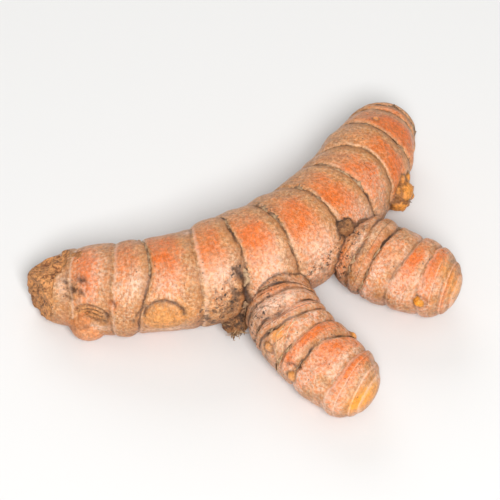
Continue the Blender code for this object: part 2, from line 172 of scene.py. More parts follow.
CAPS = {
    "main": [(7.0, 2.3), (4.4, 2.4)],
    "near": [(2.0, 2.0), (5.2, 2.4)],
    "far": [(2.0, 2.0), (4.4, 2.6)],
}
CAP_FADE = 1.5
FINE_FADE = 2.5
SEEDS = {"main": 1, "near": 5, "far": 9, "bud": 20, "break": 40}
SEED_SHIFT = (17.3, -41.9, 23.7)

# Fine relief: (along, angle, half length, half width, height). Pits have flat floors and steep sides.
PITS = {
    "main": [
        (11.0, 45, 0.55, 0.6, -0.5), (12.8, 30, 0.5, 0.5, -0.4), (13.4, 31, 0.3, 0.35, -0.3),
        (9.9, 33, 0.35, 0.4, -0.3), (17.6, 80, 0.7, 0.65, -0.7), (19.0, 63, 0.45, 1.0, -0.45),
        (4.2, 3, 1.6, 0.5, -0.45), (8.5, 351, 0.6, 1.6, -0.3), (60.2, 72, 0.5, 1.0, -0.4),
        (26.4, 285, 0.6, 0.6, -0.4), (56.0, 300, 0.5, 0.6, -0.4), (82.0, 285, 0.6, 0.5, -0.4),
        (44.0, 200, 0.6, 0.6, -0.4),
    ],
    "near": [
        (17.0, 24, 0.6, 2.6, -0.5), (24.4, 62, 0.5, 1.4, -0.35), (26.0, 66, 0.5, 0.8, -0.3),
    ],
    "far": [
        (8.4, 96, 0.6, 1.2, -0.4),
    ],
}
# The scar of a root, with rings in it: (along, angle, radius).
WHORL = (11.2, 42, 3.0)
WHORL_STEP = 1.0
WHORL_HEIGHT = 0.15
WHORL_WAVE = 0.8
# Torn wood with grooves that run along the limb: (along, angle, half length, half width, depth).
WOODY = [
    (13.6, 80, 3.2, 1.9, 0.55), (17.0, 98, 2.0, 1.8, 0.3),
]
# Creases and ridges along a line: (half width, height, how dark it is, places along and round the limb).
STROKES = {
    "main": [
        (0.36, -0.42, 0.95, [
            (24.3, 76), (24.6, 68), (25.8, 61), (28.0, 59), (30.0, 64), (31.2, 73), (31.4, 80),
        ]),
        (0.45, 0.35, 0.0, [(24.9, 88), (26.2, 97), (28.2, 101), (30.2, 96), (31.2, 88)]),
        (0.22, -0.25, 0.8, [(22.4, 88), (23.2, 74), (24.2, 64)]),
        (0.24, -0.35, 0.75, [(11.2, 75), (12.2, 68), (13.6, 65), (15.8, 68), (17.4, 74)]),
        (0.2, -0.35, 0.85, [(11.8, 80), (13.4, 74), (15.4, 75), (16.6, 78)]),
        (0.2, -0.35, 0.9, [(12.2, 85), (13.8, 81), (15.6, 82), (16.8, 84)]),
        (0.24, -0.3, 0.85, [(12.4, 91), (14.4, 89), (16.4, 89), (17.8, 87)]),
        (0.5, 0.3, 0.0, [(13.0, 98), (15.6, 97), (18.0, 90)]),
        (0.5, 0.0, 1.0, [(17.5, 79), (17.8, 82)]),
        (0.62, 0.0, 1.0, [(10.9, 43), (11.2, 47)]),
        (0.6, 0.0, 1.0, [(12.5, 29), (12.9, 32)]),
        (0.42, 0.0, 0.95, [(13.5, 30), (13.6, 31)]),
        (0.42, 0.0, 0.9, [(9.8, 32), (10.0, 34)]),
        (0.4, -0.2, 0.85, [(12.4, 46), (12.8, 50)]),
        (0.3, -0.15, 0.6, [(9.6, 54), (10.6, 60)]),
        (0.55, -0.3, 1.0, [
            (39.6, 40), (39.6, 46), (40.3, 54), (40.9, 62), (40.4, 70), (41.2, 78), (40.6, 88),
            (41.2, 98),
        ]),
        (0.45, -0.1, 0.8, [(38.8, 62), (39.5, 70), (38.7, 80), (38.9, 92)]),
        (0.26, -0.25, 0.7, [(18.7, 59), (19.3, 67)]),
        (0.3, -0.3, 0.8, [(59.2, 46), (59.6, 56), (59.6, 68), (60.4, 76)]),
        (0.24, -0.2, 0.6, [(50.2, 74), (51.0, 84), (50.6, 96)]),
        (0.24, -0.2, 0.7, [(79.4, 78), (80.2, 90), (79.0, 98)]),
        (0.24, -0.25, 0.7, [(82.2, 80), (82.0, 92), (84.0, 100)]),
    ],
    "near": [
        (0.34, -0.3, 0.85, [(24.7, 70), (25.6, 64), (26.8, 63), (28.1, 60)]),
        # Dark lines beside the dry strands: shallow creases with painted shade of the scales' edges.
        (0.2, -0.15, 0.5, [(21.4, 30), (22.2, 44), (23.2, 60), (24.0, 80), (24.9, 104)]),
        (0.18, -0.15, 0.45, [(20.6, 52), (21.5, 62), (22.6, 80)]),
        (0.22, -0.2, 0.6, [(19.9, 92), (20.1, 110)]),
        (0.22, -0.2, 0.6, [(21.3, 92), (21.4, 110)]),
    ],
    "far": [
        (0.24, -0.25, 0.7, [(8.0, 84), (8.4, 96), (8.2, 110)]),
        (0.26, -0.25, 0.8, [(15.0, 116), (15.3, 130)]),
        (0.2, -0.2, 0.5, [(25.0, 70), (26.0, 66), (27.0, 74)]),
    ],
}

# Flushes of colour between rings, strongest just past a ring. For each stretch from its ring: how orange,
# at what angle, half width in mm, how pink, at what angle, half width.
# The pink is partly pink skin and partly a painted highlight, set where the light falls on each stretch.
FLUSH = {
    "main": {
        0: (0.35, 10, 5.0, 0.0, 0, 1.0), 1: (0.6, 26, 6.5, 0.65, 34, 6.0),
        2: (0.6, 0, 5.0, 0.65, 34, 5.0), 3: (1.0, 0, 6.0, 0.75, 34, 5.0), 4: (0.9, 4, 5.5, 0.35, 40, 5.0),
        5: (1.0, 14, 5.5, 0.8, 54, 7.0), 6: (1.0, 16, 5.5, 0.75, 62, 7.0),
        7: (0.95, 16, 6.0, 0.8, 50, 5.0), 8: (0.8, 20, 6.0, 0.8, 42, 6.0),
        9: (1.0, 45, 7.0, 0.5, 64, 5.0), 10: (1.15, 32, 8.0, 0.4, 60, 4.0),
        11: (0.5, 20, 5.0, 0.0, 0, 1.0), 12: (0.2, 20, 5.0, 0.0, 0, 1.0),
    },
    "near": {
        2: (0.1, 14, 5.0, 0.8, 16, 6.0), 3: (0.3, 10, 4.0, 0.85, 356, 6.0),
        4: (0.35, 30, 4.0, 0.6, 14, 5.0), 5: (1.0, 14, 6.5, 0.5, 36, 5.0),
        6: (0.85, 0, 7.0, 1.0, 28, 9.0), 7: (1.1, 8, 7.0, 0.7, 45, 6.0), 8: (0.4, 20, 5.0, 0.2, 40, 6.0),
    },
    "far": {
        1: (0.45, 53, 3.0, 0.0, 0, 1.0), 3: (0.5, 22, 3.5, 0.7, 58, 5.0), 4: (1.0, 18, 5.0, 0.8, 50, 5.0),
        5: (1.15, 15, 6.0, 0.6, 44, 5.0), 6: (0.8, 45, 7.0, 0.2, 30, 5.0), 7: (0.5, 20, 8.0, 0.0, 0, 1.0),
    },
}
# How rosy the skin is all over.
ROSY = {"main": 0.10, "near": 0.60, "far": 0.50}
# Spots of colour on each limb: (along, angle, half length, half width, amount).
SPOTS = {
    "orange": {  # more of it than in the flushes
        "main": [
            (13.6, 2, 2.2, 3.0, 0.4), (18.4, 130, 2.0, 2.0, 0.6), (19.0, 63, 0.8, 1.4, 0.7),
            (11.0, 120, 3.0, 3.0, 0.5),
        ],
        "near": [
            (12.9, 12, 0.6, 4.0, 0.7), (24.4, 64, 1.4, 1.2, 0.5),
        ],
        "far": [
            (12.6, 26, 0.6, 3.5, 0.8), (10.8, 53, 0.8, 2.0, 0.4),
        ],
    },
    "pink": {  # the same
        "main": [
            (15.4, 26, 2.6, 4.4, 0.6), (15.0, 10, 2.0, 3.0, 0.3),
        ],
    },
    "pale": {  # dry skin, and painted highlights
        "main": [
            (22.0, 36, 1.0, 3.0, 0.8), (9.5, 40, 1.6, 2.2, 0.8), (28.6, 108, 4.0, 1.2, 0.7),
            (37.6, 40, 2.0, 3.0, 0.8), (46.5, 47, 3.0, 4.0, 0.6), (55.0, 56, 3.0, 4.0, 0.6),
            (34.3, 331, 0.7, 1.0, 0.9), (15.6, 98, 3.0, 0.7, 0.8), (66.5, 78, 3.5, 4.0, 0.9),
            (4.6, 330, 1.0, 3.0, 0.5),
        ],
        "near": [
            (14.9, 30, 1.6, 7.0, 0.9), (17.4, 27, 0.5, 1.0, 0.9), (22.0, 52, 1.4, 2.0, 0.5),
            (33.0, 4, 0.7, 4.0, 0.5), (37.8, 26, 0.5, 5.0, 0.5),
        ],
        "far": [
            (9.6, 30, 0.5, 2.5, 0.8), (20.3, 56, 1.0, 2.5, 0.6), (14.6, 92, 0.8, 1.2, 0.8),
            (24.2, 40, 0.5, 6.0, 0.4),
        ],
    },
    "young": {  # yellow skin
        "main": [
            (81.4, 98, 3.4, 3.6, 0.8), (94.4, 106, 0.9, 1.2, 0.8), (28.2, 80, 3.4, 2.8, 0.55),
        ],
        "near": [
            (40.0, 52, 1.6, 5.0, 0.95), (38.4, 72, 1.3, 3.0, 0.85), (40.6, 330, 1.4, 4.0, 0.4),
            (20.2, 44, 1.0, 1.4, 0.7), (19.8, 29, 0.4, 1.2, 0.5),
        ],
        "far": [
            (30.9, 22, 1.4, 5.0, 0.7), (28.2, 5, 1.2, 2.0, 0.5),
        ],
    },
    "cork": {  # where the root was broken or a scale came off
        "main": [
            (3.0, 48, 3.2, 5.0, 0.9), (6.2, 0, 2.6, 2.2, 0.9), (3.4, 12, 3.0, 3.5, 0.9),
            (11.0, 46, 2.2, 2.2, 0.5), (13.9, 79, 3.2, 2.0, 0.95), (28.2, 80, 3.4, 2.9, 0.35),
            (98.6, 0, 1.4, 30.0, 0.5), (60.6, 58, 1.2, 1.8, 0.7), (2.0, 200, 4.0, 12.0, 0.9),
            (26.4, 285, 1.0, 1.1, 0.8), (56.0, 300, 0.9, 1.0, 0.8), (82.0, 285, 1.1, 1.0, 0.8),
            (44.0, 200, 1.0, 1.2, 0.8),
        ],
    },
    "soil": {  # in specks and smears
        "main": [
            (3.0, 60, 4.0, 7.0, 0.6), (11.4, 40, 3.0, 2.8, 0.5), (38.6, 84, 2.6, 5.0, 0.9),
            (39.6, 112, 4.0, 6.0, 1.0), (40.0, 60, 1.6, 5.0, 0.9), (36.6, 92, 2.6, 3.6, 0.7),
            (53.0, 90, 4.0, 4.0, 0.6), (51.0, 340, 2.0, 5.0, 0.5), (59.4, 350, 1.4, 5.0, 0.5),
            (72.0, 104, 6.0, 5.0, 0.6), (57.6, 74, 2.6, 3.0, 0.5), (60.4, 56, 1.6, 2.6, 0.9),
            (20.0, 205, 4.0, 6.0, 0.5), (46.0, 225, 3.0, 5.0, 0.6), (64.0, 280, 3.0, 4.0, 0.6),
            (74.0, 215, 4.0, 6.0, 0.6), (90.0, 250, 3.0, 5.0, 0.5),
        ],
        "near": [
            (11.0, 60, 2.2, 10.0, 0.7), (16.0, 110, 6.0, 5.0, 0.6), (15.2, 40, 3.0, 6.0, 0.5),
            (24.0, 230, 5.0, 5.0, 0.5),
        ],
        "far": [
            (7.4, 90, 2.0, 20.0, 0.8), (14.0, 116, 4.0, 4.0, 0.6), (9.5, 60, 2.4, 8.0, 0.6),
            (18.0, 230, 5.0, 5.0, 0.5),
        ],
    },
}

AROUND = {"main": 180, "near": 128, "far": 124, "bud": 26}
ROW_STEP = 0.40
ROW_DIGITS = 3
RING_ROW_STEP = 0.21
RING_ROW_REACH = 0.85
HIDDEN_ROW_STEP = 1.2
BUD_ROW_STEP = 0.6
TORN_STEP = 0.34
HIDDEN_BASE = {"main": 0.0, "near": 8.0, "far": 5.0}
CAP_ROWS = {"main": 16, "near": 14, "far": 14, "bud": 8}
LINE_SAMPLES = 300
SEAM_REACH = 0.6
SEAM_ROUNDS = 4
SCRAP_SIZE = 0.003

# The noises on a limb: the number that tells each apart, and its size.
NOISES = {
    "wander": (0, 1.0), "uneven": (1, 0.8), "lumps": (2, 9.0), "dents": (3, 3.2), "grain": (4, 1.5),
    "fine_grain": (5, 0.7), "ragged": (6, 1.9), "finely_ragged": (7, 0.7), "ring_gaps": (8, 3.0),
    "growth_lines": (9, 0.45), "cork_edge": (10, 1.4), "scales": (11, 1.2), "orange_behind": (13, 5.0),
    "patches": (14, 3.0), "fading": (15, 2.0), "grooves": (16, 0.75), "fine_grooves": (17, 0.4),
    "pink_behind": (18, 4.0), "rosy": (19, 2.6),
}

# The fine relief that is the same all over.
GRAIN = {"grain": 0.060, "fine_grain": 0.045}
GROWTH_STRETCH = (0.22, 0.22, 1.0)
# How far the edge of an even ring bends, and how much more that of a ragged one does.
RAGGED_EDGE = {"ragged": (0.10, 0.30), "finely_ragged": (0.04, 0.16)}
CREASE_HALF_WIDTH = 0.20
SLEEVE_LENGTH = 1.6  # what is left of the scale on a ring
CORK_RELIEF = 0.16
TORN_NUMBER = 11
TORN_SIZES = {"skin": (1.5, 0.7), "bud": (1.6, 0.8)}
TORN_SMALL = 0.5  # the height of the smaller ridges as a share of the larger ones
SCALE_EDGE = 0.10
SCALE_DEPTH = 0.10
PALE_TIP = 0.4

# Behind, where the photo shows nothing, the colour comes in patches.
BEHIND_FROM = 20
BEHIND_ORANGE = 0.8

VALUES = ("ring", "dark", "phase", "orange", "pink", "pale", "young", "cork", "soil", "line")
NO_RING = 9.0  # the distance from a ring that is stored where no ring is near


def smooth_columns(points, samples):
    """A natural cubic spline through the points, every column of them, at evenly spread samples."""
    points = np.array(points, float)
    gaps = np.linalg.norm(np.diff(points[:, :3], axis=0), axis=1) ** 0.5
    knots = np.r_[0, np.cumsum(gaps)]
    last = len(knots) - 1
    system = np.eye(last + 1)
    bend = np.zeros((last + 1, points.shape[1]))
    for i in range(1, last):
        system[i, i - 1 : i + 2] = gaps[i - 1], 2 * (gaps[i - 1] + gaps[i]), gaps[i]
        slopes = np.diff(points[i - 1 : i + 2], axis=0) / gaps[i - 1 : i + 1, None]
        bend[i] = 6 * (slopes[1] - slopes[0])
    bend = np.linalg.solve(system, bend)
    t = np.linspace(0, knots[-1], samples)
    i = np.clip(np.searchsorted(knots, t, side="right") - 1, 0, last - 1)
    gap = gaps[i][:, None]
    before = (knots[i + 1] - t)[:, None] / gap
    after = 1 - before
    curve = (before**3 - before) * bend[i] + (after**3 - after) * bend[i + 1]
    return before * points[i] + after * points[i + 1] + curve * gap**2 / 6


def noise_at(points, size, seed):
    """Smooth noise from about -1 to 1 at each point, with lumps of that size."""
    shift = np.array(SEED_SHIFT) * seed
    return np.array([noise.noise(p) for p in points / size + shift])


def torn_at(points, sizes, seed):
    """Noise with sharp ridges of two sizes, as torn wood has, from about -1.5 to 1.5."""
    large, small = (1 - 2 * np.abs(noise_at(points, s, seed + i)) for i, s in enumerate(sizes))
    return large + TORN_SMALL * small


def unit(value):
    return np.clip(value, 0, 1)


def bell(value, width):
    """1 where the value is 0, and soon 0 beyond the width."""
    return np.exp(-((value / width) ** 2))


def ease(low, high, value):
    """0 on low's side, 1 on high's side, and a smooth step between them."""
    share = unit((value - low) / (high - low))
    return share * share * (3 - 2 * share)


def across_from(angle, degrees):
    """How far each angle is from that one, in radians, from -pi to pi."""
    return (angle - math.radians(degrees) + math.pi) % (2 * math.pi) - math.pi


def spread(table, along, angle, radius, power=1.0):
    """The sum of soft spots on a limb: domes for a power of 1, and flat-topped for more."""
    total = np.zeros_like(along)
    for at, round_at, half_long, half_wide, rise in table:
        away = ((along - at) / half_long) ** 2 + (across_from(angle, round_at) * radius / half_wide) ** 2
        total += rise * np.exp(-(away**power))
    return total


class Limb:
    """A stretch of rhizome that tapers along a curved line, with rings, marks and rounded ends."""

    def __init__(self, name, line, rings, marks, scars, caps, seed, finish=(0.0,) * 6):
        self.name = name
        self.samples = smooth_columns(line, LINE_SAMPLES)
        centre = self.samples[:, :3]
        self.along = np.r_[0, np.cumsum(np.linalg.norm(np.diff(centre, axis=0), axis=1))]
        self.length = self.along[-1]
        tangent = np.gradient(centre, axis=0)
        self.tangent = tangent / np.linalg.norm(tangent, axis=1)[:, None]
        side = np.cross(self.tangent, (0, 0, 1))
        self.side = side / np.linalg.norm(side, axis=1)[:, None]
        self.top = np.cross(self.side, self.tangent)
        self.rings = np.array(rings, float).reshape(-1, 6)
        self.marks = marks
        self.scars = scars
        self.caps = caps
        self.seed = seed
        self.finish = finish  # the last six values of a bud

    def read(self, table, along):
        return np.stack([np.interp(along, self.along, column) for column in table.T], -1)

    def noise(self, points, name):
        number, size = NOISES[name]
        return noise_at(points, size, self.seed + number)

    def spots(self, kind, *here, power=1.0):
        return spread(SPOTS[kind].get(self.name, []), *here, power)

    def foot(self, at, round_at):
        """A point on the surface, the ways out to it and to the tip, and how far it is from the line."""
        along = np.array([at])
        foot = self.surface(along, np.array([math.radians(round_at)]))[0]
        out = foot - self.read(self.samples, along)[0, :3]
        depth = np.linalg.norm(out)
        return foot, out / depth, self.read(self.tangent, along)[0], depth

    def cap_share(self, along):
        share = np.ones_like(along)
        for distance, (length, bluntness) in zip((along, self.length - along), self.caps):
            left = unit(1 - distance / length)
            share *= unit(1 - left**bluntness) ** (1 / bluntness)
        return share

    def rows(self):
        """Distances along the limb at which the fine mesh has a row of corners."""
        (base, base_blunt), (tip, tip_blunt) = self.caps
        turn = np.linspace(0, math.pi / 2, CAP_ROWS[self.name] + 1)[1:]
        ends = [base * (1 - np.cos(turn) ** (2 / base_blunt))]
        ends.append(self.length - tip * (1 - np.cos(turn) ** (2 / tip_blunt)))
        body = [base]
        while body[-1] < self.length - tip:
            body.append(body[-1] + self.row_step(body[-1]))
        rows = np.unique(np.round(np.concatenate([*ends, body[1:-1]]), ROW_DIGITS))
        return rows[rows < self.length - 10**-ROW_DIGITS]

    def row_step(self, at):
        if self.name == "bud":
            return TORN_STEP if self.finish[4] > SMOOTH_BUD else BUD_ROW_STEP
        if at < HIDDEN_BASE[self.name]:
            return HIDDEN_ROW_STEP
        near_ring = np.abs(self.rings[:, 0] - at).min() < RING_ROW_REACH
        return RING_ROW_STEP if near_ring else ROW_STEP

    def swing(self, along, angle):
        """How far towards the tip a point of a row is moved, so that the rings lean and wander."""
        round_points = np.stack([np.cos(angle), np.sin(angle), along / WANDER_LENGTH], -1)
        moved = RING_WANDER * self.noise(round_points, "wander")
        if len(self.rings):
            moved += np.interp(along, self.rings[:, 0], self.rings[:, 1]) * np.cos(angle)
            moved += np.interp(along, self.rings[:, 0], self.rings[:, 2]) * np.sin(angle)
        return moved * unit(np.minimum(along, self.length - along) / STEADY_END)

    def relief(self, along, angle, radius):
        """The solid's own relief: rings, swellings, marks and scars."""
        height = np.zeros_like(along)
        round_points = np.stack([np.cos(angle), np.sin(angle), along / UNEVEN_LENGTH], -1)
        strength = 1 + RING_UNEVENNESS * self.noise(round_points, "uneven")
        for at, _, _, depth, *_ in self.rings:
            groove = bell(along - at, RING_HALF_WIDTH)
            lip = bell(along - at - LIP_OFFSET, LIP_HALF_WIDTH)
            height += strength * depth * (LIP_HEIGHT * lip - RING_DEPTH * groove)
        if len(self.rings):
            stops = np.r_[0, self.rings[:, 0], self.length]
            part = np.interp(along, stops, np.arange(len(stops))) % 1
            height += JOINT_BULGE * radius * (np.sin(math.pi * part) - 0.5)
        height += spread(self.marks, along, angle, radius)
        return height + spread(self.scars, along, angle, radius, 3)

    def ring_values(self, along, straight):
        """From each point: the signed distance to its nearest ring, with the ring's ragged edge, that
        ring's darkness and raggedness, the stretch that the point is in and how far through it."""
        ats = self.rings[:, 0]
        ragged = self.rings[np.abs(along[:, None] - ats).argmin(1), 5]
        bent = along.copy()
        for name, (even, uneven) in RAGGED_EDGE.items():
            bent += (even + uneven * ragged) * self.noise(straight, name)
        nearest = np.abs(bent[:, None] - ats).argmin(1)
        stops = np.r_[0, ats, self.length]
        phase = np.interp(bent, stops, np.arange(len(stops)))
        number = np.minimum(np.floor(phase), len(stops) - 2)
        return bent - ats[nearest], self.rings[nearest, 4], ragged, number, phase - number

    def flushes(self, along, angle, radius, number, part, plain):
        """How orange and how pink the skin is; the pink is partly a painted highlight."""
        orange, pink = np.zeros_like(along), np.zeros_like(along)
        for stretch, (much, at, wide, rosy, rosy_at, rosy_wide) in FLUSH[self.name].items():
            here = number == stretch
            orange += here * much * bell(across_from(angle, at) * radius, wide)
            pink += here * rosy * bell(across_from(angle, rosy_at) * radius, rosy_wide)
        behind = ease(0.1, -0.5, np.cos(angle - math.radians(BEHIND_FROM)))
        orange += BEHIND_ORANGE * behind * unit(0.25 + 1.3 * self.noise(plain, "orange_behind"))
        pink += behind * unit(0.25 + 1.5 * self.noise(plain, "pink_behind"))
        patches = 1 + 0.5 * self.noise(plain, "patches")
        fading = 1 - ease(0.50, 0.85, part + 0.12 * self.noise(plain, "fading"))
        orange *= patches * ease(0.02, 0.12, part) * fading
        pink *= patches * ease(0.02, 0.20, part) * fading
        pink += ROSY[self.name] * np.clip(0.7 + 1.2 * self.noise(plain, "rosy"), 0, 1.2)
        orange += self.spots("orange", along, angle, radius)
        pink += self.spots("pink", along, angle, radius)
        return orange, pink

    def fine(self, along, angle, radius, plain):
        """The small relief that the solid leaves out, and the values that colour the skin."""
        values = dict.fromkeys(VALUES, np.zeros_like(along))
        straight = np.stack([radius * np.cos(angle), radius * np.sin(angle), along], -1)
        height = sum(rise * self.noise(plain, name) for name, rise in GRAIN.items())
        if self.name == "bud":
            return height + self.bud_skin(along, values, plain), values, straight
        from_ring, dark, ragged, number, part = self.ring_values(along, straight)
        breaks = np.clip(0.80 + 0.9 * self.noise(straight, "ring_gaps"), 0.15, 1.4)
        sleeve = ease(-SLEEVE_LENGTH, -0.10, from_ring) * (from_ring < 0)
        height -= (0.04 + 0.12 * dark) * breaks * bell(from_ring, CREASE_HALF_WIDTH)
        height += (0.03 + 0.12 * dark) * breaks * sleeve * (0.6 + 0.6 * ragged)
        lines = self.noise(straight * GROWTH_STRETCH, "growth_lines")
        height += lines * (0.006 + 0.022 * bell(from_ring, SLEEVE_LENGTH))
        height += spread(PITS[self.name], along, angle, radius, 2)
        cork = self.spots("cork", along, angle, radius, power=2)
        cork = unit(cork * (1 + 0.5 * self.noise(plain, "cork_edge")))
        rough = torn_at(plain, TORN_SIZES["skin"], self.seed + TORN_NUMBER)
        height += cork * CORK_RELIEF * rough
        if self.name == "main":
            height += self.whorl(along, angle, radius) + self.wood(along, angle, radius)
        rise, line = self.strokes(along, angle, radius)
        height += rise
        orange, pink = self.flushes(along, angle, radius, number, part, plain)
        values["ring"] = from_ring
        values["dark"] = np.clip(dark * breaks, 0, 1.3)
        values["phase"] = part
        values["orange"] = np.clip(orange * (1 - 0.9 * cork), 0, 1.2)
        values["pink"] = unit(pink * (1 - 0.9 * cork))
        values["cork"] = cork
        # The corky patches darken in the hollows of their torn relief: painted shade.
        values["line"] = np.maximum(line, 0.7 * cork * ease(0.2, 1.0, -rough))
        for kind in ("pale", "young", "soil"):
            values[kind] = unit(self.spots(kind, along, angle, radius))
        return height, values, straight

    def bud_skin(self, along, values, plain):
        """Fills in a bud's values, and returns its relief: torn wood if it is rough, and else scales."""
        values["ring"] = np.full_like(along, NO_RING)
        for key, amount in zip(("young", "cork", "soil", "orange"), self.finish):
            values[key] = np.full_like(along, amount)
        rough = self.finish[4]
        torn = torn_at(plain, TORN_SIZES["bud"], self.seed + TORN_NUMBER)
        if rough > SMOOTH_BUD:
            # Painted shade in the hollows of the torn relief, and soil.
            values["line"] = np.maximum(0.9 * ease(0.0, 0.8, -torn), 0.6 * values["soil"])
            return rough * torn
        from_tip = (self.length - along) / self.samples[0, 3] + 0.10 * self.noise(plain, "scales")
        scales = sum(bell(from_tip - at, SCALE_EDGE) for at in BUD_SCALES)
        values["line"] = 0.45 * scales
        values["pale"] = 0.5 * bell(from_tip, PALE_TIP)
        return rough * torn - SCALE_DEPTH * scales

    def whorl(self, along, angle, radius):
        """The rings in a root's scar."""
        at, round_at, size = WHORL
        over, out = across_from(angle, round_at) * radius, along - at
        away = np.hypot(out, over)
        rings = np.cos(2 * math.pi * away / WHORL_STEP + WHORL_WAVE * np.sin(3 * np.arctan2(over, out)))
        return WHORL_HEIGHT * rings * np.exp(-((away / size) ** 4))

    def wood(self, along, angle, radius):
        """Grooves along torn wood."""
        height = np.zeros_like(along)
        for at, round_at, half_long, half_wide, depth in WOODY:
            over = across_from(angle, round_at) * radius
            away = ((along - at) / half_long) ** 2 + (over / half_wide) ** 2
            grain = np.stack([(along - at) * GROWTH_STRETCH[0], over, np.zeros_like(along)], -1)
            grooves = self.noise(grain, "grooves") + 0.4 * self.noise(grain, "fine_grooves")
            height += depth * (grooves - 0.25) * np.exp(-(away**2))
        return height

    def strokes(self, along, angle, radius):
        """Height and darkness of the creases and ridges that follow a line."""
        height, dark = np.zeros_like(along), np.zeros_like(along)
        for half_width, rise, how_dark, places in STROKES[self.name]:
            middle = places[len(places) // 2][1]
            here = np.stack([along, across_from(angle, middle) * radius], -1)
            away = np.full_like(along, np.inf)
            for start, stop in zip(places[:-1], places[1:]):
                ends = [
                    np.stack([np.full_like(along, at), math.radians(round_at - middle) * radius], -1)
                    for at, round_at in (start, stop)
                ]
                way = ends[1] - ends[0]
                share = ((here - ends[0]) * way).sum(1) / (way**2).sum(1)
                foot = ends[0] + way * unit(share)[:, None]
                away = np.minimum(away, np.linalg.norm(here - foot, axis=1))
            near = bell(away, half_width)
            height += rise * near
            dark = np.maximum(dark, how_dark * near)
        return height, dark

    def surface(self, along, angle, fine=False):
        """Points on the limb's surface, with their colouring values where the fine relief is asked for."""
        moved = along + self.swing(along, angle)
        line = self.read(self.samples, moved)
        top, side = self.read(self.top, moved), self.read(self.side, moved)
        outward = np.cos(angle)[:, None] * top + np.sin(angle)[:, None] * side
        share = self.cap_share(along)
        plain = line[:, :3] + outward * (line[:, 3] * share)[:, None]
        lumps = LUMP_HEIGHT * self.noise(plain, "lumps")
        lumps += DENT_HEIGHT * self.noise(plain, "dents")
        height = (self.relief(along, angle, line[:, 3]) + lumps) * np.minimum(share * CAP_FADE, 1)
        if not fine:
            return plain + outward * height[:, None]
        small, values, straight = self.fine(along, angle, line[:, 3], plain)
        height = height + small * np.minimum(share * FINE_FADE, 1)
        return plain + outward * height[:, None], values, straight

    def solid(self):
        """The limb as a closed fine mesh, its corners, and their colouring values."""
        rows = self.rows()
        around = AROUND[self.name]
        if self.name == "bud" and self.finish[4] > SMOOTH_BUD:
            around = int(2 * math.pi * self.samples[0, 3] / TORN_STEP)
        angles = np.arange(around) * 2 * math.pi / around
        along, angle = (grid.ravel() for grid in np.meshgrid(rows, angles, indexing="ij"))
        points, values, straight = self.surface(along, angle, fine=True)
        grid = np.arange(len(points)).reshape(len(rows), around)
        low, high = grid[:-1], grid[1:]
        quads = np.stack([low, np.roll(low, -1, 1), np.roll(high, -1, 1), high], -1).reshape(-1, 4)
        faces = quads.tolist()
        for end, ring in enumerate((grid[0], grid[-1])):
            faces += [[len(points) + end, int(a), int(b)] for a, b in zip(ring, np.roll(ring, -1))]
        points, straight = (
            np.vstack([table, table[grid[0]].mean(0), table[grid[-1]].mean(0)])
            for table in (points, straight)
        )
        values = {
            key: np.r_[column, column[grid[0]].mean(), column[grid[-1]].mean()]
            for key, column in values.items()
        }
        return mesh_object(self.name, points, faces), points, values, straight


@contextmanager
def edited(data):
    """A mesh, open for edits."""
    mesh = bmesh.new()
    mesh.from_mesh(data)
    yield mesh
    mesh.to_mesh(data)
    mesh.free()


def mesh_object(name, points, faces):
    data = bpy.data.meshes.new(name)
    data.from_pydata((np.asarray(points) * MM).tolist(), [], faces)
    with edited(data) as mesh:
        bmesh.ops.recalc_face_normals(mesh, faces=mesh.faces)
    made = bpy.data.objects.new(name, data)
    bpy.context.scene.collection.objects.link(made)
    return made


def bud_limb(parent, at, round_at, radius, proud, lean, bluntness, *finish, seed):
    """A bud as a short limb that grows straight out of its parent and leans to the parent's tip."""
    foot, outward, tangent, depth = parent.foot(at, round_at)
    way = outward + lean * tangent
    way /= np.linalg.norm(way)
    root = foot - way * radius * min(BUD_ROOT, depth / radius)
    tip = foot + way * proud
    line = [(*point, radius) for point in (root, (root + tip) / 2, tip)]
    tip_cap = min(proud + BUD_TIP_CAP * radius, LONGEST_TIP_CAP * np.linalg.norm(tip - root))
    caps = [(BUD_BASE_CAP * radius, 2.0), (tip_cap, bluntness)]
    return Limb("bud", line, [], [], [], caps, seed, finish)


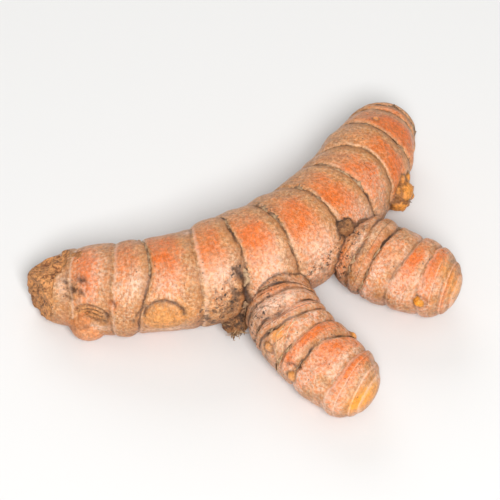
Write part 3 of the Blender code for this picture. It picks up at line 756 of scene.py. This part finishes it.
def broken_off_part(middle, way, marks):
    """The space beyond a broken face, and the values that colour the face."""
    way = np.array(way) / np.linalg.norm(way)
    right = np.cross((0, 0, 1), way)
    right /= np.linalg.norm(right)
    up = np.cross(way, right)
    steps = np.linspace(-BREAK_REACH, BREAK_REACH, BREAK_CELLS + 1)
    u, v = (grid.ravel() for grid in np.meshgrid(steps, steps, indexing="ij"))
    flat = np.array(middle) + u[:, None] * right + v[:, None] * up
    seed = SEEDS["break"]
    height = BREAK_ROUGHNESS * noise_at(flat, BREAK_GRAIN, seed)
    for at_u, at_v, half_u, half_v, rise in marks:
        height += rise * np.exp(-(((u - at_u) / half_u) ** 2) - ((v - at_v) / half_v) ** 2)
    (a, b), (c, d) = BREAK_LEAN
    torn = np.stack([u * a + v * b, u * c + v * d, np.zeros_like(u)], -1)
    rough = torn_at(torn, TORN_SIZES["skin"], seed + 1)
    height += BREAK_RIDGES * rough + BREAK_CRUMBS * noise_at(flat, 0.7, seed + 3)
    front = flat + height[:, None] * way
    grid = np.arange(len(flat)).reshape(BREAK_CELLS + 1, BREAK_CELLS + 1)
    quads = np.stack([grid[:-1, :-1], grid[1:, :-1], grid[1:, 1:], grid[:-1, 1:]], -1)
    faces = quads.reshape(-1, 4).tolist()
    rim = np.concatenate([grid[:-1, 0], grid[-1, :-1], grid[:0:-1, -1], grid[0, :0:-1]])
    back = len(front) + np.arange(len(rim))
    for j, i in enumerate(rim):
        k = (j + 1) % len(rim)
        faces.append([int(i), int(rim[k]), int(back[k]), int(back[j])])
    faces.append(back.tolist())
    points = np.vstack([front, flat[rim] + BREAK_DEPTH * way])
    values = dict.fromkeys(VALUES, np.zeros(len(points)))
    values["ring"] = np.full(len(points), NO_RING)
    values["cork"] = np.ones(len(points))
    # Painted shade in the hollows of the broken face.
    values["line"] = np.r_[0.95 * ease(0.0, 0.9, -rough), np.zeros(len(rim))]
    values["soil"] = np.full(len(points), 0.25)
    return mesh_object("broken_off_part", points, faces), points, values, points.copy()


def join_solids(target, others, operation):
    group = bpy.data.collections.new("joined")
    for other in others:
        group.objects.link(other)
    step = target.modifiers.new("join", "BOOLEAN")
    step.operation = operation
    step.operand_type = "COLLECTION"
    step.collection = group
    step.solver = "EXACT"
    graph = bpy.context.evaluated_depsgraph_get()
    result = bpy.data.meshes.new_from_object(target.evaluated_get(graph))
    target.modifiers.clear()
    target.data = result
    for other in others:
        bpy.data.objects.remove(other)
    bpy.data.collections.remove(group)


def build_root():
    """The whole root as one closed mesh, with its colouring values on its corners, and its limbs."""
    shapes = {
        "main": (MAIN_LINE, MAIN_RINGS, MAIN_MARKS, MAIN_SCARS),
        "near": (NEAR_FINGER_LINE, NEAR_FINGER_RINGS, NEAR_FINGER_MARKS, []),
        "far": (FAR_FINGER_LINE, FAR_FINGER_RINGS, FAR_FINGER_MARKS, []),
    }
    limbs = {name: Limb(name, *shape, CAPS[name], SEEDS[name]) for name, shape in shapes.items()}
    main = limbs["main"].solid()
    # How dark the painted shade is in the crease round each limb and bud.
    darkness = [1.0, 1.0] + [bud[-1] for bud in BUDS.values()]
    faces = [broken_off_part(*face) for face in BREAKS]
    grown = [limbs[name].solid() for name in ("near", "far")]
    for number, (parent, *shape) in enumerate(BUDS.values()):
        grown.append(bud_limb(limbs[parent], *shape, seed=SEEDS["bud"] + number).solid())
    root = main[0]
    join_solids(root, [face[0] for face in faces], "DIFFERENCE")
    join_solids(root, [source[0] for source in grown], "UNION")
    sources = [main, *faces, *grown]
    owners = [0] * (1 + len(faces)) + list(range(1, len(grown) + 1))
    colour_root(root, sources, owners, np.array([0.0, *darkness]))
    shift_to_row(root, lowest=0.0)
    drop_scraps(root)
    return root, limbs


def store(piece, name, column):
    layer = piece.data.attributes.new(name, "FLOAT", "POINT")
    layer.data.foreach_set("value", np.asarray(column, np.float32))


def nearest(points, places):
    """For each place, the number of the nearest point and how far away it is."""
    tree = kdtree.KDTree(len(points))
    for i, point in enumerate(points):
        tree.insert(point, i)
    tree.balance()
    found = [tree.find(place)[1:] for place in places]
    return np.array([i for i, _ in found]), np.array([away for _, away in found])


def colour_root(root, sources, owners, darkness):
    """Copies every value to the joined mesh from the nearest corner of what it was joined from."""
    places = np.empty(len(root.data.vertices) * 3)
    root.data.vertices.foreach_get("co", places)
    places = places.reshape(-1, 3) / MM
    points = np.vstack([source[1] for source in sources])
    owner = np.concatenate([np.full(len(source[1]), i) for source, i in zip(sources, owners)])
    straight = np.vstack([source[3] for source in sources])
    chosen, _ = nearest(points, places)
    seam, seam_shade = seam_distance(root, places, owner[chosen], darkness)
    soften_seams(root, seam)
    for key in VALUES:
        store(root, key, np.concatenate([source[2][key] for source in sources])[chosen])
    store(root, "seam", seam)
    store(root, "seam_shade", seam_shade)
    layer = root.data.attributes.new("straight", "FLOAT_VECTOR", "POINT")
    layer.data.foreach_set("vector", straight[chosen].astype(np.float32).ravel())


def seam_distance(root, places, owner, darkness):
    """How far each corner is from the nearest line at which two limbs or buds meet, and how dark the
    painted shade in the crease there is."""
    edges = np.empty(len(root.data.edges) * 2, int)
    root.data.edges.foreach_get("vertices", edges)
    edges = edges.reshape(-1, 2)
    edges = edges[owner[edges[:, 0]] != owner[edges[:, 1]]]
    seam_edge_shade = darkness[owner[edges].max(1)]
    dark = np.zeros(len(places))
    dark[edges[:, 0]], dark[edges[:, 1]] = seam_edge_shade, seam_edge_shade
    split = np.unique(edges)
    chosen, away = nearest(places[split], places)
    return np.minimum(away, NO_RING), dark[split[chosen]]


def soften_seams(root, seam):
    """Rounds off the sharp corner where limbs and buds meet."""
    with edited(root.data) as mesh:
        bmesh.ops.triangulate(mesh, faces=[face for face in mesh.faces if len(face.verts) > 4])
        mesh.verts.ensure_lookup_table()
        near = [mesh.verts[i] for i in np.flatnonzero(seam < SEAM_REACH)]
        for _ in range(SEAM_ROUNDS):
            bmesh.ops.smooth_vert(
                mesh, verts=near, factor=0.5, use_axis_x=True, use_axis_y=True, use_axis_z=True
            )


def drop_scraps(root):
    """Takes out the slivers, doubled faces and loose scraps that the joins leave, and closes the holes."""
    with edited(root.data) as mesh:
        bmesh.ops.remove_doubles(mesh, verts=mesh.verts, dist=SCRAP_SIZE * MM)
        bmesh.ops.dissolve_degenerate(mesh, edges=mesh.edges, dist=SCRAP_SIZE * MM)
        large = [face for face in mesh.faces if len(face.verts) > 3]
        folded = [face for face in large if any(len(v.link_edges) == 2 for v in face.verts)]
        bmesh.ops.triangulate(mesh, faces=folded)
        same = {}
        for face in mesh.faces:
            same.setdefault(frozenset(face.verts), []).append(face)
        doubled = [face for faces in same.values() if len(faces) > 1 for face in faces]
        bmesh.ops.delete(mesh, geom=doubled, context="FACES")
        body = joined_faces(max(mesh.faces, key=lambda face: face.calc_area()))
        scraps = [face for face in mesh.faces if face not in body]
        bmesh.ops.delete(mesh, geom=scraps, context="FACES")
        bmesh.ops.delete(mesh, geom=[v for v in mesh.verts if not v.link_faces], context="VERTS")
        bmesh.ops.holes_fill(mesh, edges=[edge for edge in mesh.edges if edge.is_boundary])


def joined_faces(face):
    """All the faces that are joined to a face by edges."""
    found, fresh = {face}, [face]
    while fresh:
        beside = {other for edge in fresh.pop().edges for other in edge.link_faces} - found
        found |= beside
        fresh.extend(beside)
    return found


def shift_to_row(piece, lowest=-math.inf):
    """Moves a piece to where the solid is, and wears it flat at the lowest height."""
    for vertex in piece.data.vertices:
        vertex.co.x -= ROW_SHIFT[0] * MM
        vertex.co.y -= ROW_SHIFT[1] * MM
        vertex.co.z = max(vertex.co.z, lowest)


MIX_A, MIX_B, MIX_RESULT = 6, 7, 2  # the colour sockets of a mix node


class Nodes:
    """Short ways to write a material's nodes."""

    def __init__(self, name):
        self.material = bpy.data.materials.new(name)
        self.material.use_nodes = True
        self.tree = self.material.node_tree
        self.place = self.make("ShaderNodeTexCoord").outputs["Object"]

    def make(self, kind, inputs=None, **settings):
        node = self.tree.nodes.new(kind)
        for key, value in settings.items():
            setattr(node, key, value)
        self.feed(node, inputs or {})
        return node

    def feed(self, node, inputs):
        """Links a node's inputs, by name or number, to other nodes' outputs, or sets their values."""
        for key, value in inputs.items():
            socket = node.inputs[key]
            if isinstance(value, bpy.types.NodeSocket):
                self.tree.links.new(value, socket)
            else:
                socket.default_value = (*value, 1.0) if socket.type == "RGBA" else value

    def finish(self, inputs):
        """The material, once its shader is fed."""
        self.feed(self.tree.nodes["Principled BSDF"], inputs)
        return self.material

    def value(self, name, output="Fac"):
        return self.make("ShaderNodeAttribute", attribute_name=name).outputs[output]

    def math(self, operation, a, b=0.0, clamp=False):
        return self.make("ShaderNodeMath", {0: a, 1: b}, operation=operation, use_clamp=clamp).outputs[0]

    def times(self, first, *others):
        for other in others:
            first = self.math("MULTIPLY", first, other)
        return first

    def step(self, value, low, high, out_low=0.0, out_high=1.0):
        inputs = dict(enumerate((value, low, high, out_low, out_high)))
        return self.make("ShaderNodeMapRange", inputs, interpolation_type="SMOOTHSTEP").outputs[0]

    def mix(self, share, a, b, blend="MIX"):
        inputs = {0: share, MIX_A: a, MIX_B: b}
        settings = {"data_type": "RGBA", "blend_type": blend, "clamp_factor": True}
        return self.make("ShaderNodeMix", inputs, **settings).outputs[MIX_RESULT]

    def noise(self, size_mm, detail=2.0, rough=0.5, place=None, warp=0.0):
        unit_size = MM if place is None else 1.0
        inputs = {
            "Vector": self.place if place is None else place,
            "Scale": 1 / (size_mm * unit_size),
            "Detail": detail,
            "Roughness": rough,
            "Distortion": warp,
        }
        return self.make("ShaderNodeTexNoise", inputs).outputs["Fac"]

    def bump(self, height, distance_mm, strength, normal=None):
        inputs = {"Strength": strength, "Distance": distance_mm * MM, "Height": height}
        if normal is not None:
            inputs["Normal"] = normal
        return self.make("ShaderNodeBump", inputs).outputs["Normal"]


TAN = (0.60, 0.255, 0.072)
KHAKI = (0.44, 0.173, 0.058)
ORANGE = (0.76, 0.165, 0.022)
SALMON = (0.85, 0.30, 0.125)
# Pale dry skin, also the colour of the painted highlights.
PALE = (0.95, 0.66, 0.49)
DRY = (0.82, 0.49, 0.25)
UMBER = (0.26, 0.085, 0.024)
DARK = (0.075, 0.032, 0.016)
CORK_BROWN = (0.29, 0.092, 0.024)
CORK_GOLD = (0.88, 0.385, 0.130)
YELLOW = (0.92, 0.34, 0.025)
SOIL_BROWN = (0.05, 0.028, 0.018)
SPECKS_APART = 2.3


def skin_material():
    """The root's skin. Each step lays a colour over what is there, as far as its first value says."""
    n = Nodes("turmeric_skin")
    ring, dark, phase = (n.value(v) for v in ("ring", "dark", "phase"))
    seam, seam_shade = (n.value(v) for v in ("seam", "seam_shade"))
    orange, pink, pale, young, cork, soil, crease = (
        n.value(v) for v in ("orange", "pink", "pale", "young", "cork", "soil", "line")
    )
    straight = n.value("straight", "Vector")
    stretched = n.make("ShaderNodeVectorMath", {0: straight, 1: (0.2, 0.2, 1.0)}, operation="MULTIPLY")
    growth = n.noise(0.5, 3.0, 0.6, place=stretched.outputs[0])
    blotch = n.noise(4.5, 3.0, 0.55)
    mottle = n.noise(1.1, 3.0, 0.65)
    speckle = n.noise(0.62, 3.0, 0.65)
    fine = n.noise(0.3, 2.0, 0.6)

    tan = n.mix(n.step(blotch, 0.42, 0.68, 0.0, 0.7), TAN, KHAKI)
    tan = n.mix(n.step(speckle, 0.42, 0.66, 0.0, 0.85), tan, DRY)
    tan = n.mix(n.step(fine, 0.36, 0.54, 0.45, 0.0), tan, KHAKI)
    tan = n.mix(n.step(mottle, 0.34, 0.48, 0.35, 0.0), tan, UMBER)
    tan = n.mix(n.step(phase, 0.70, 1.0, 0.0, 0.5), tan, KHAKI)
    # Painted shade: the tan darkens to umber towards the underside.
    upward = n.make("ShaderNodeSeparateXYZ", {0: straight}).outputs[0]
    tan = n.mix(n.step(upward, -6.0, 4.0, 0.5, 0.0), tan, UMBER)

    # The pink skin, broken by pale flecks: partly pale flakes of skin and partly a painted highlight.
    rosy = n.mix(n.step(speckle, 0.38, 0.60, 0.1, 1.0), SALMON, PALE)
    rosy = n.mix(n.step(n.noise(0.8, 3.0, 0.6), 0.52, 0.64, 0.0, 0.55), rosy, ORANGE)
    skin = n.mix(n.times(pink, n.step(mottle, 0.30, 0.60, 0.55, 1.0)), tan, rosy)
    # Pale dry skin, and painted highlights.
    skin = n.mix(n.times(pale, n.step(speckle, 0.36, 0.60, 0.35, 0.95)), skin, PALE)
    flush = n.mix(n.step(speckle, 0.48, 0.68, 0.0, 0.55), ORANGE, SALMON)
    share = n.times(orange, n.step(mottle, 0.28, 0.60, 0.62, 1.05), n.step(fine, 0.3, 0.6, 0.85, 1.0))
    skin = n.mix(share, skin, flush)
    skin = n.mix(n.times(young, n.step(mottle, 0.2, 0.6, 0.7, 1.0)), skin, YELLOW)

    corky = n.mix(n.step(n.noise(1.5, 5.0, 0.7, warp=0.8), 0.34, 0.54), CORK_BROWN, CORK_GOLD)
    skin = n.mix(n.times(cork, 0.9), skin, corky)
    # Painted shade: the cork darkens where its crumbly bump is low.
    crumb = n.noise(0.9, 4.0, 0.7, warp=0.5)
    skin = n.mix(n.times(cork, n.step(crumb, 0.34, 0.46, 0.6, 0.0)), skin, DARK)

    freckles = n.step(n.noise(0.42, 3.0, 0.7), 0.60, 0.72, 0.0, 0.32)
    skin = n.mix(freckles, skin, KHAKI)
    streaks = n.step(growth, 0.35, 0.68, 0.92, 1.07)
    streaks = n.times(streaks, n.step(n.noise(0.8, 4.0, 0.7), 0.36, 0.64, 0.80, 1.17))
    grey = n.make("ShaderNodeCombineColor", {0: streaks, 1: streaks, 2: streaks})
    skin = n.mix(1.0, skin, grey.outputs[0], "MULTIPLY")

    wander = n.times(n.math("SUBTRACT", n.noise(0.6, 3.0), 0.5), 0.35)
    bent = n.math("ADD", ring, wander)
    # The khaki band on the basal side of a dark ring is the dry scale's edge, with painted shade of the
    # fold over the ring.
    edge = n.times(n.step(bent, -1.6, -0.25), n.math("LESS_THAN", bent, 0.0))
    skin = n.mix(n.times(edge, dark, 0.5), skin, KHAKI)
    # Painted highlight: a pale rim just past each ring, where its edge catches the light, strongest where
    # the ring is faint.
    rim = n.times(n.step(bent, 0.2, 0.45), n.step(bent, 0.5, 0.95, 1.0, 0.0))
    faint = n.math("SUBTRACT", 0.75, dark, clamp=True)
    skin = n.mix(n.times(rim, n.math("ADD", n.times(faint, 0.5), 0.08)), skin, PALE)
    line = n.step(n.math("ABSOLUTE", bent), 0.10, 0.36, 1.0, 0.0)
    skin = n.mix(n.math("MULTIPLY", line, n.times(dark, 0.95), clamp=True), skin, DARK)
    # The dark of the creases and strokes, with the painted shade in torn hollows.
    skin = n.mix(n.times(crease, n.step(fine, 0.3, 0.6, 0.75, 1.0)), skin, DARK)
    # Painted shade in the creases where limbs and buds meet.
    near_seam = n.math("ADD", seam, n.times(n.noise(0.6, 2.0), 0.4))
    skin = n.mix(n.times(seam_shade, n.step(near_seam, 0.2, 0.8, 0.75, 0.0)), skin, DARK)

    grains = n.step(n.noise(0.75, 3.0, 0.7, warp=0.6), 0.54, 0.62)
    grains = n.times(grains, n.step(n.noise(1.6, 2.0), 0.38, 0.54), n.step(soil, 0.05, 0.6))
    skin = n.mix(grains, skin, SOIL_BROWN)
    smear = n.times(n.step(n.noise(2.0, 4.0, 0.7), 0.47, 0.66), soil, 0.8)
    skin = n.mix(smear, skin, SOIL_BROWN)
    cells = {"Vector": n.place, "Scale": 1 / (SPECKS_APART * MM)}
    from_speck = n.make("ShaderNodeTexVoronoi", cells, feature="F1").outputs["Distance"]
    skin = n.mix(n.step(from_speck, 0.05, 0.085, 0.8, 0.0), skin, DARK)

    rough = n.math("ADD", n.step(speckle, 0.3, 0.7, 0.26, 0.46), n.times(cork, 0.25))
    rough = n.math("ADD", rough, n.times(soil, 0.2), clamp=True)
    normal = None
    for height, depth, strength in (
        (n.times(crumb, cork), 0.7, 1.0),
        (speckle, 0.30, 1.0),
        (fine, 0.12, 1.0),
        (growth, 0.04, 0.4),
    ):
        normal = n.bump(height, depth, strength, normal)
    return n.finish({
        "Base Color": skin,
        "Roughness": rough,
        "Specular IOR Level": 0.5,
        "Subsurface Weight": 0.08,
        "Subsurface Radius": (1.0, 0.4, 0.15),
        "Subsurface Scale": 0.8 * MM,
        "Normal": normal,
    })


def fibre_material(name, dark_tone, pale_tone, size_mm):
    n = Nodes(name)
    tone = n.noise(size_mm, 3.0, 0.6)
    colour = n.mix(n.step(tone, 0.35, 0.65), dark_tone, pale_tone)
    colour = n.mix(n.step(n.noise(0.3, 2.0), 0.55, 0.7, 0.0, 0.5), colour, DARK)
    return n.finish({
        "Base Color": colour,
        "Roughness": n.step(tone, 0.3, 0.7, 0.55, 0.85),
        "Normal": n.bump(n.noise(0.25, 3.0), 0.05, 0.6),
    })


# Shreds of old scales: (limb, ring's distance along, from angle, to angle, longest).
SHREDS = [
    ("main", 40.6, 44, 100, 1.2), ("main", 40.6, 330, 370, 0.6), ("main", 23.5, 330, 390, 0.4),
    ("main", 51.0, 325, 372, 1.0), ("main", 59.4, 335, 390, 1.0), ("main", 59.4, 60, 96, 1.2),
    ("main", 70.6, 330, 400, 0.6), ("main", 86.4, 340, 420, 0.6), ("main", 93.8, 340, 430, 0.7),
    ("main", 96.4, 330, 440, 0.8), ("main", 98.2, 0, 360, 0.7), ("main", 59.4, 150, 290, 0.9),
    ("main", 40.6, 180, 300, 0.9), ("main", 76.0, 120, 260, 0.8), ("near", 12.0, 20, 110, 0.9),
    ("near", 23.1, 40, 100, 0.9), ("near", 27.3, 20, 90, 0.9), ("near", 27.3, 180, 300, 0.8),
    ("far", 7.4, 40, 120, 0.9), ("far", 10.4, 30, 120, 0.8), ("far", 13.6, 20, 120, 0.9),
    ("near", 16.6, 60, 120, 0.8), ("near", 19.2, 30, 110, 0.7), ("far", 13.6, 200, 320, 0.8),
]
SHRED_SEED = 77
SHRED_SHARE = 0.62  # how much of a ring has shreds
SHRED_WIDTH = (1.2, 4.2)
SHRED_GAP = (0.1, 0.6)
SHRED_LIFT = (0.12, 0.42)
SHRED_REACH = (0.35, 1.0)
SHRED_START = 0.25  # how far before the ring its foot is
SHRED_SUNK = 0.06
SHRED_FOOT = 0.04
SHRED_CURL = 0.05
SHRED_STEP = 0.28
SHRED_THICK = 0.07


def shreds(limbs):
    """Ragged edges of old scales that stand along some rings, each one a thin closed solid."""
    draw = np.random.default_rng(SHRED_SEED)
    points, faces = [], []
    for name, at, start, stop, longest in SHREDS:
        limb = limbs[name]
        radius = np.interp(at, limb.along, limb.samples[:, 3])
        angle = start
        while angle < stop:
            width = draw.uniform(*SHRED_WIDTH)
            turn = math.degrees(width / radius)
            if draw.random() < SHRED_SHARE:
                add_shred(points, faces, limb, at, radius, angle, turn, longest, draw)
            angle += turn + math.degrees(draw.uniform(*SHRED_GAP) / radius)
    return mesh_object("scale_shreds", points, faces)


def add_shred(points, faces, limb, at, radius, start, turn, longest, draw):
    count = max(4, int(math.radians(turn) * radius / SHRED_STEP))
    angles = np.radians(np.linspace(start, start + turn, count))
    shape = np.sin(np.linspace(0.12, math.pi - 0.12, count)) ** 0.6
    reach = longest * shape * draw.uniform(*SHRED_REACH, count)
    lift = draw.uniform(*SHRED_LIFT)
    first = len(points)
    for share in (0.0, 0.5, 1.0):
        row = limb.surface(at - SHRED_START + reach * share, angles)
        out = row - limb.read(limb.samples, np.full(count, at))[:, :3]
        out /= np.linalg.norm(out, axis=1)[:, None]
        rise = SHRED_FOOT + lift * share * reach / longest
        rise += SHRED_CURL * np.abs(draw.standard_normal(count)) * share - SHRED_SUNK * (share == 0)
        base = row + out * rise[:, None]
        points.extend(base + out * SHRED_THICK)
        points.extend(base)
    for row in range(2):
        a = first + row * 2 * count
        b = a + 2 * count
        for j in range(count - 1):
            faces.append([a + j, a + j + 1, b + j + 1, b + j])
            faces.append([a + count + j, b + count + j, b + count + j + 1, a + count + j + 1])
        for j in (0, count - 1):
            faces.append([a + j, b + j, b + j + count, a + j + count])
    for row in (0, 2):
        a = first + row * 2 * count
        for j in range(count - 1):
            faces.append([a + j, a + j + 1, a + j + 1 + count, a + j + count])


# Rootlets and hairs: (limb, along, angle, length, radius, how much it lies along the limb, curl).
FIBRES = [
    ("main", 60.6, 88, 2.4, 0.12, 0.4, 1.2), ("main", 61.2, 94, 2.2, 0.1, -0.2, 1.4),
    ("main", 60.6, 60, 1.8, 0.09, 0.8, 1.5), ("main", 30.0, 200, 3.4, 0.12, 0.2, 1.2),
    ("main", 52.0, 190, 3.0, 0.12, 0.3, 1.4), ("main", 74.0, 210, 2.8, 0.1, 0.3, 1.4),
]
# Tufts of fine rootlets: (limb, along, angle, how many, how far out their middle is, how far from it they
# start, longest).
TUFTS = [
    ("main", 40.9, 124, 54, 1.6, 1.6, 3.0), ("main", 80.4, 102, 9, 0.8, 2.0, 1.2),
]
# Dry strands that lie on the skin: (limb, radius, places along and round it).
STRANDS = [
    ("near", 0.14, [(20.0, 12), (20.9, 29), (21.8, 44), (22.8, 60), (23.6, 81), (24.5, 104)]),
    ("near", 0.12, [(20.0, 30), (20.4, 45), (21.9, 60), (23.3, 84), (24.2, 104)]),
    ("near", 0.08, [(21.0, 36), (21.6, 50), (22.3, 66), (23.4, 90)]),
    ("main", 0.1, [(23.0, 310), (23.2, 333), (23.8, 346), (25.0, 362)]),
    ("far", 0.1, [(10.6, 10), (9.8, 24), (9.5, 42), (9.7, 52)]),
]
FIBRE_SIDES = 6
FIBRE_STEPS = 12
FIBRE_SEED = 91
FIBRE_SUNK = 0.4
FIBRE_WOBBLE = 0.10
FIBRE_TAPER = 0.75
TUFT_OUTWARD = 1.1
TUFT_START = (0.5, 1.0)
TUFT_LENGTH = (0.35, 1.0)
TUFT_RADIUS = (0.09, 0.22)
TUFT_CURL = 3.0


def fibres(limbs):
    """Rootlets and hairs as thin tapered closed tubes."""
    draw = np.random.default_rng(FIBRE_SEED)
    points, faces = [], []
    for name, at, round_at, length, radius, lie, curl in FIBRES:
        foot, outward, tangent, _ = limbs[name].foot(at, round_at)
        way = (outward + lie * tangent) / math.hypot(1, lie)
        add_fibre(points, faces, foot - outward * FIBRE_SUNK, way, length, radius, curl, draw)
    for name, at, round_at, count, proud, apart, longest in TUFTS:
        foot, outward, _, _ = limbs[name].foot(at, round_at)
        for _ in range(count):
            way = draw.standard_normal(3) + TUFT_OUTWARD * outward
            way /= np.linalg.norm(way)
            start = foot + outward * proud + way * apart * draw.uniform(*TUFT_START)
            length = longest * draw.uniform(*TUFT_LENGTH)
            radius = draw.uniform(*TUFT_RADIUS)
            add_fibre(points, faces, start, way, length, radius, TUFT_CURL, draw)
    return mesh_object("root_fibres", points, faces)


def strands(limbs):
    """Dry strands of old scales that lie on the skin."""
    points, faces = [], []
    for name, radius, places in STRANDS:
        along, angle = np.array(places, float).T
        steps = np.linspace(0, len(places) - 1, 5 * len(places))
        knots = np.arange(len(places))
        limb = limbs[name]
        along, angle = np.interp(steps, knots, along), np.radians(np.interp(steps, knots, angle))
        path = limb.surface(along + 0.05 * np.sin(steps * 5.1), angle)
        out = path - limb.read(limb.samples, along)[:, :3]
        path += out / np.linalg.norm(out, axis=1)[:, None] * (radius * 0.9 + 0.06)
        add_tube(points, faces, path, radius)
    return mesh_object("dry_strands", points, faces)


def add_fibre(points, faces, start, way, length, radius, curl, draw):
    path = [start]
    bend = draw.standard_normal(3) * curl
    for _ in range(FIBRE_STEPS):
        way = way + bend * length / FIBRE_STEPS * 0.35 / max(length / 3, 1)
        way += draw.standard_normal(3) * FIBRE_WOBBLE
        way /= np.linalg.norm(way)
        path.append(path[-1] + way * length / FIBRE_STEPS)
    add_tube(points, faces, np.array(path), radius)


def add_tube(points, faces, path, radius):
    """A thin closed tube along a path, which tapers to a quarter of its radius."""
    first = len(points)
    path[:, 2] = np.maximum(path[:, 2], radius)
    tangent = np.gradient(path, axis=0)
    tangent /= np.linalg.norm(tangent, axis=1)[:, None]
    across = np.cross(tangent, (0.3, 0.2, 0.93))
    across /= np.linalg.norm(across, axis=1)[:, None]
    other = np.cross(tangent, across)
    turn = np.arange(FIBRE_SIDES) * 2 * math.pi / FIBRE_SIDES
    for i, place in enumerate(path):
        here = radius * (1 - FIBRE_TAPER * i / (len(path) - 1))
        points.extend(place + here * (math.cos(t) * across[i] + math.sin(t) * other[i]) for t in turn)
    for i in range(len(path) - 1):
        a = first + i * FIBRE_SIDES
        b = a + FIBRE_SIDES
        for j in range(FIBRE_SIDES):
            k = (j + 1) % FIBRE_SIDES
            faces.append([a + j, a + k, b + k, b + j])
    faces.append(list(range(first, first + FIBRE_SIDES))[::-1])
    faces.append(list(range(len(points) - FIBRE_SIDES, len(points))))


def dress(piece, material):
    piece.data.materials.clear()
    piece.data.materials.append(material)
    piece.data.shade_smooth()
    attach(piece, "root")


root, limbs = build_root()
root.name = "rhizome_skin"
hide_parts("rhizome")
dress(root, skin_material())

for make, *look in (
    (shreds, "old_scale", (0.20, 0.10, 0.05), (0.55, 0.36, 0.20), 1.4),
    (fibres, "rootlet", (0.16, 0.08, 0.035), (0.52, 0.32, 0.16), 1.2),
    (strands, "dry_strand", (0.50, 0.26, 0.10), (0.84, 0.58, 0.34), 0.9),
):
    piece = make(limbs)
    shift_to_row(piece)
    dress(piece, fibre_material(*look))

# The floor, the lights and the camera.
FLOOR_HALF = 2000.0
corners = ((-1, -1), (1, -1), (1, 1), (-1, 1))
floor = mesh_object("floor", [(x * FLOOR_HALF, y * FLOOR_HALF, 0.0) for x, y in corners], [[0, 1, 2, 3]])
floor_look = Nodes("pale_floor").finish({"Base Color": (0.80, 0.80, 0.795), "Roughness": 0.9})
floor.data.materials.append(floor_look)

scene = bpy.context.scene
scene.view_settings.view_transform = "Standard"
world = bpy.data.worlds.new("studio")
scene.world = world
world.use_nodes = True
sky = world.node_tree.nodes["Background"].inputs
sky["Color"].default_value = (1.0, 0.975, 0.945, 1.0)
sky["Strength"].default_value = 0.28


def way_to(azimuth, elevation):
    """From the middle of the root towards a light or camera, with azimuth 0 in front of it."""
    a, e = math.radians(azimuth), math.radians(elevation)
    return Vector((math.sin(a) * math.cos(e), -math.cos(a) * math.cos(e), math.sin(e)))


def area_light(name, azimuth, elevation, distance, size, power):
    lamp = bpy.data.lights.new(name, "AREA")
    lamp.energy = power
    lamp.size = size
    made = bpy.data.objects.new(name, lamp)
    scene.collection.objects.link(made)
    made.location = way_to(azimuth, elevation) * distance
    made.rotation_euler = way_to(azimuth, elevation).to_track_quat("Z", "Y").to_euler()


for light in (  # azimuth, elevation, distance, size and power
    ("key", 8, 46, 0.9, 0.30, 8.2),
    ("top", 20, 80, 0.9, 0.7, 0.6),
    ("back", 195, 36, 0.9, 0.6, 2.2),
):
    area_light(*light)

VIEW_ELEVATION = 50
VIEW_DISTANCE = 700.0
VIEW_WIDTH = 102.6
VIEW_MIDDLE = (0.76, 0.76)  # the frame's middle, right and up of the origin of the limb lines as the camera sees it
SENSOR = 36.0

camera = bpy.data.objects.new("camera", bpy.data.cameras.new("camera"))
scene.collection.objects.link(camera)
camera.data.sensor_width = SENSOR
camera.data.lens = SENSOR * VIEW_DISTANCE / VIEW_WIDTH
camera.data.clip_start = 0.01
camera.data.clip_end = 20.0
tilt = math.radians(VIEW_ELEVATION)
up = Vector((0, math.sin(tilt), math.cos(tilt)))
middle = Vector((VIEW_MIDDLE[0], 0, 0)) + up * VIEW_MIDDLE[1] - Vector((*ROW_SHIFT, 0))
camera.location = (middle + way_to(0, VIEW_ELEVATION) * VIEW_DISTANCE) * MM
camera.rotation_euler = (math.radians(90 - VIEW_ELEVATION), 0, 0)
scene.camera = camera
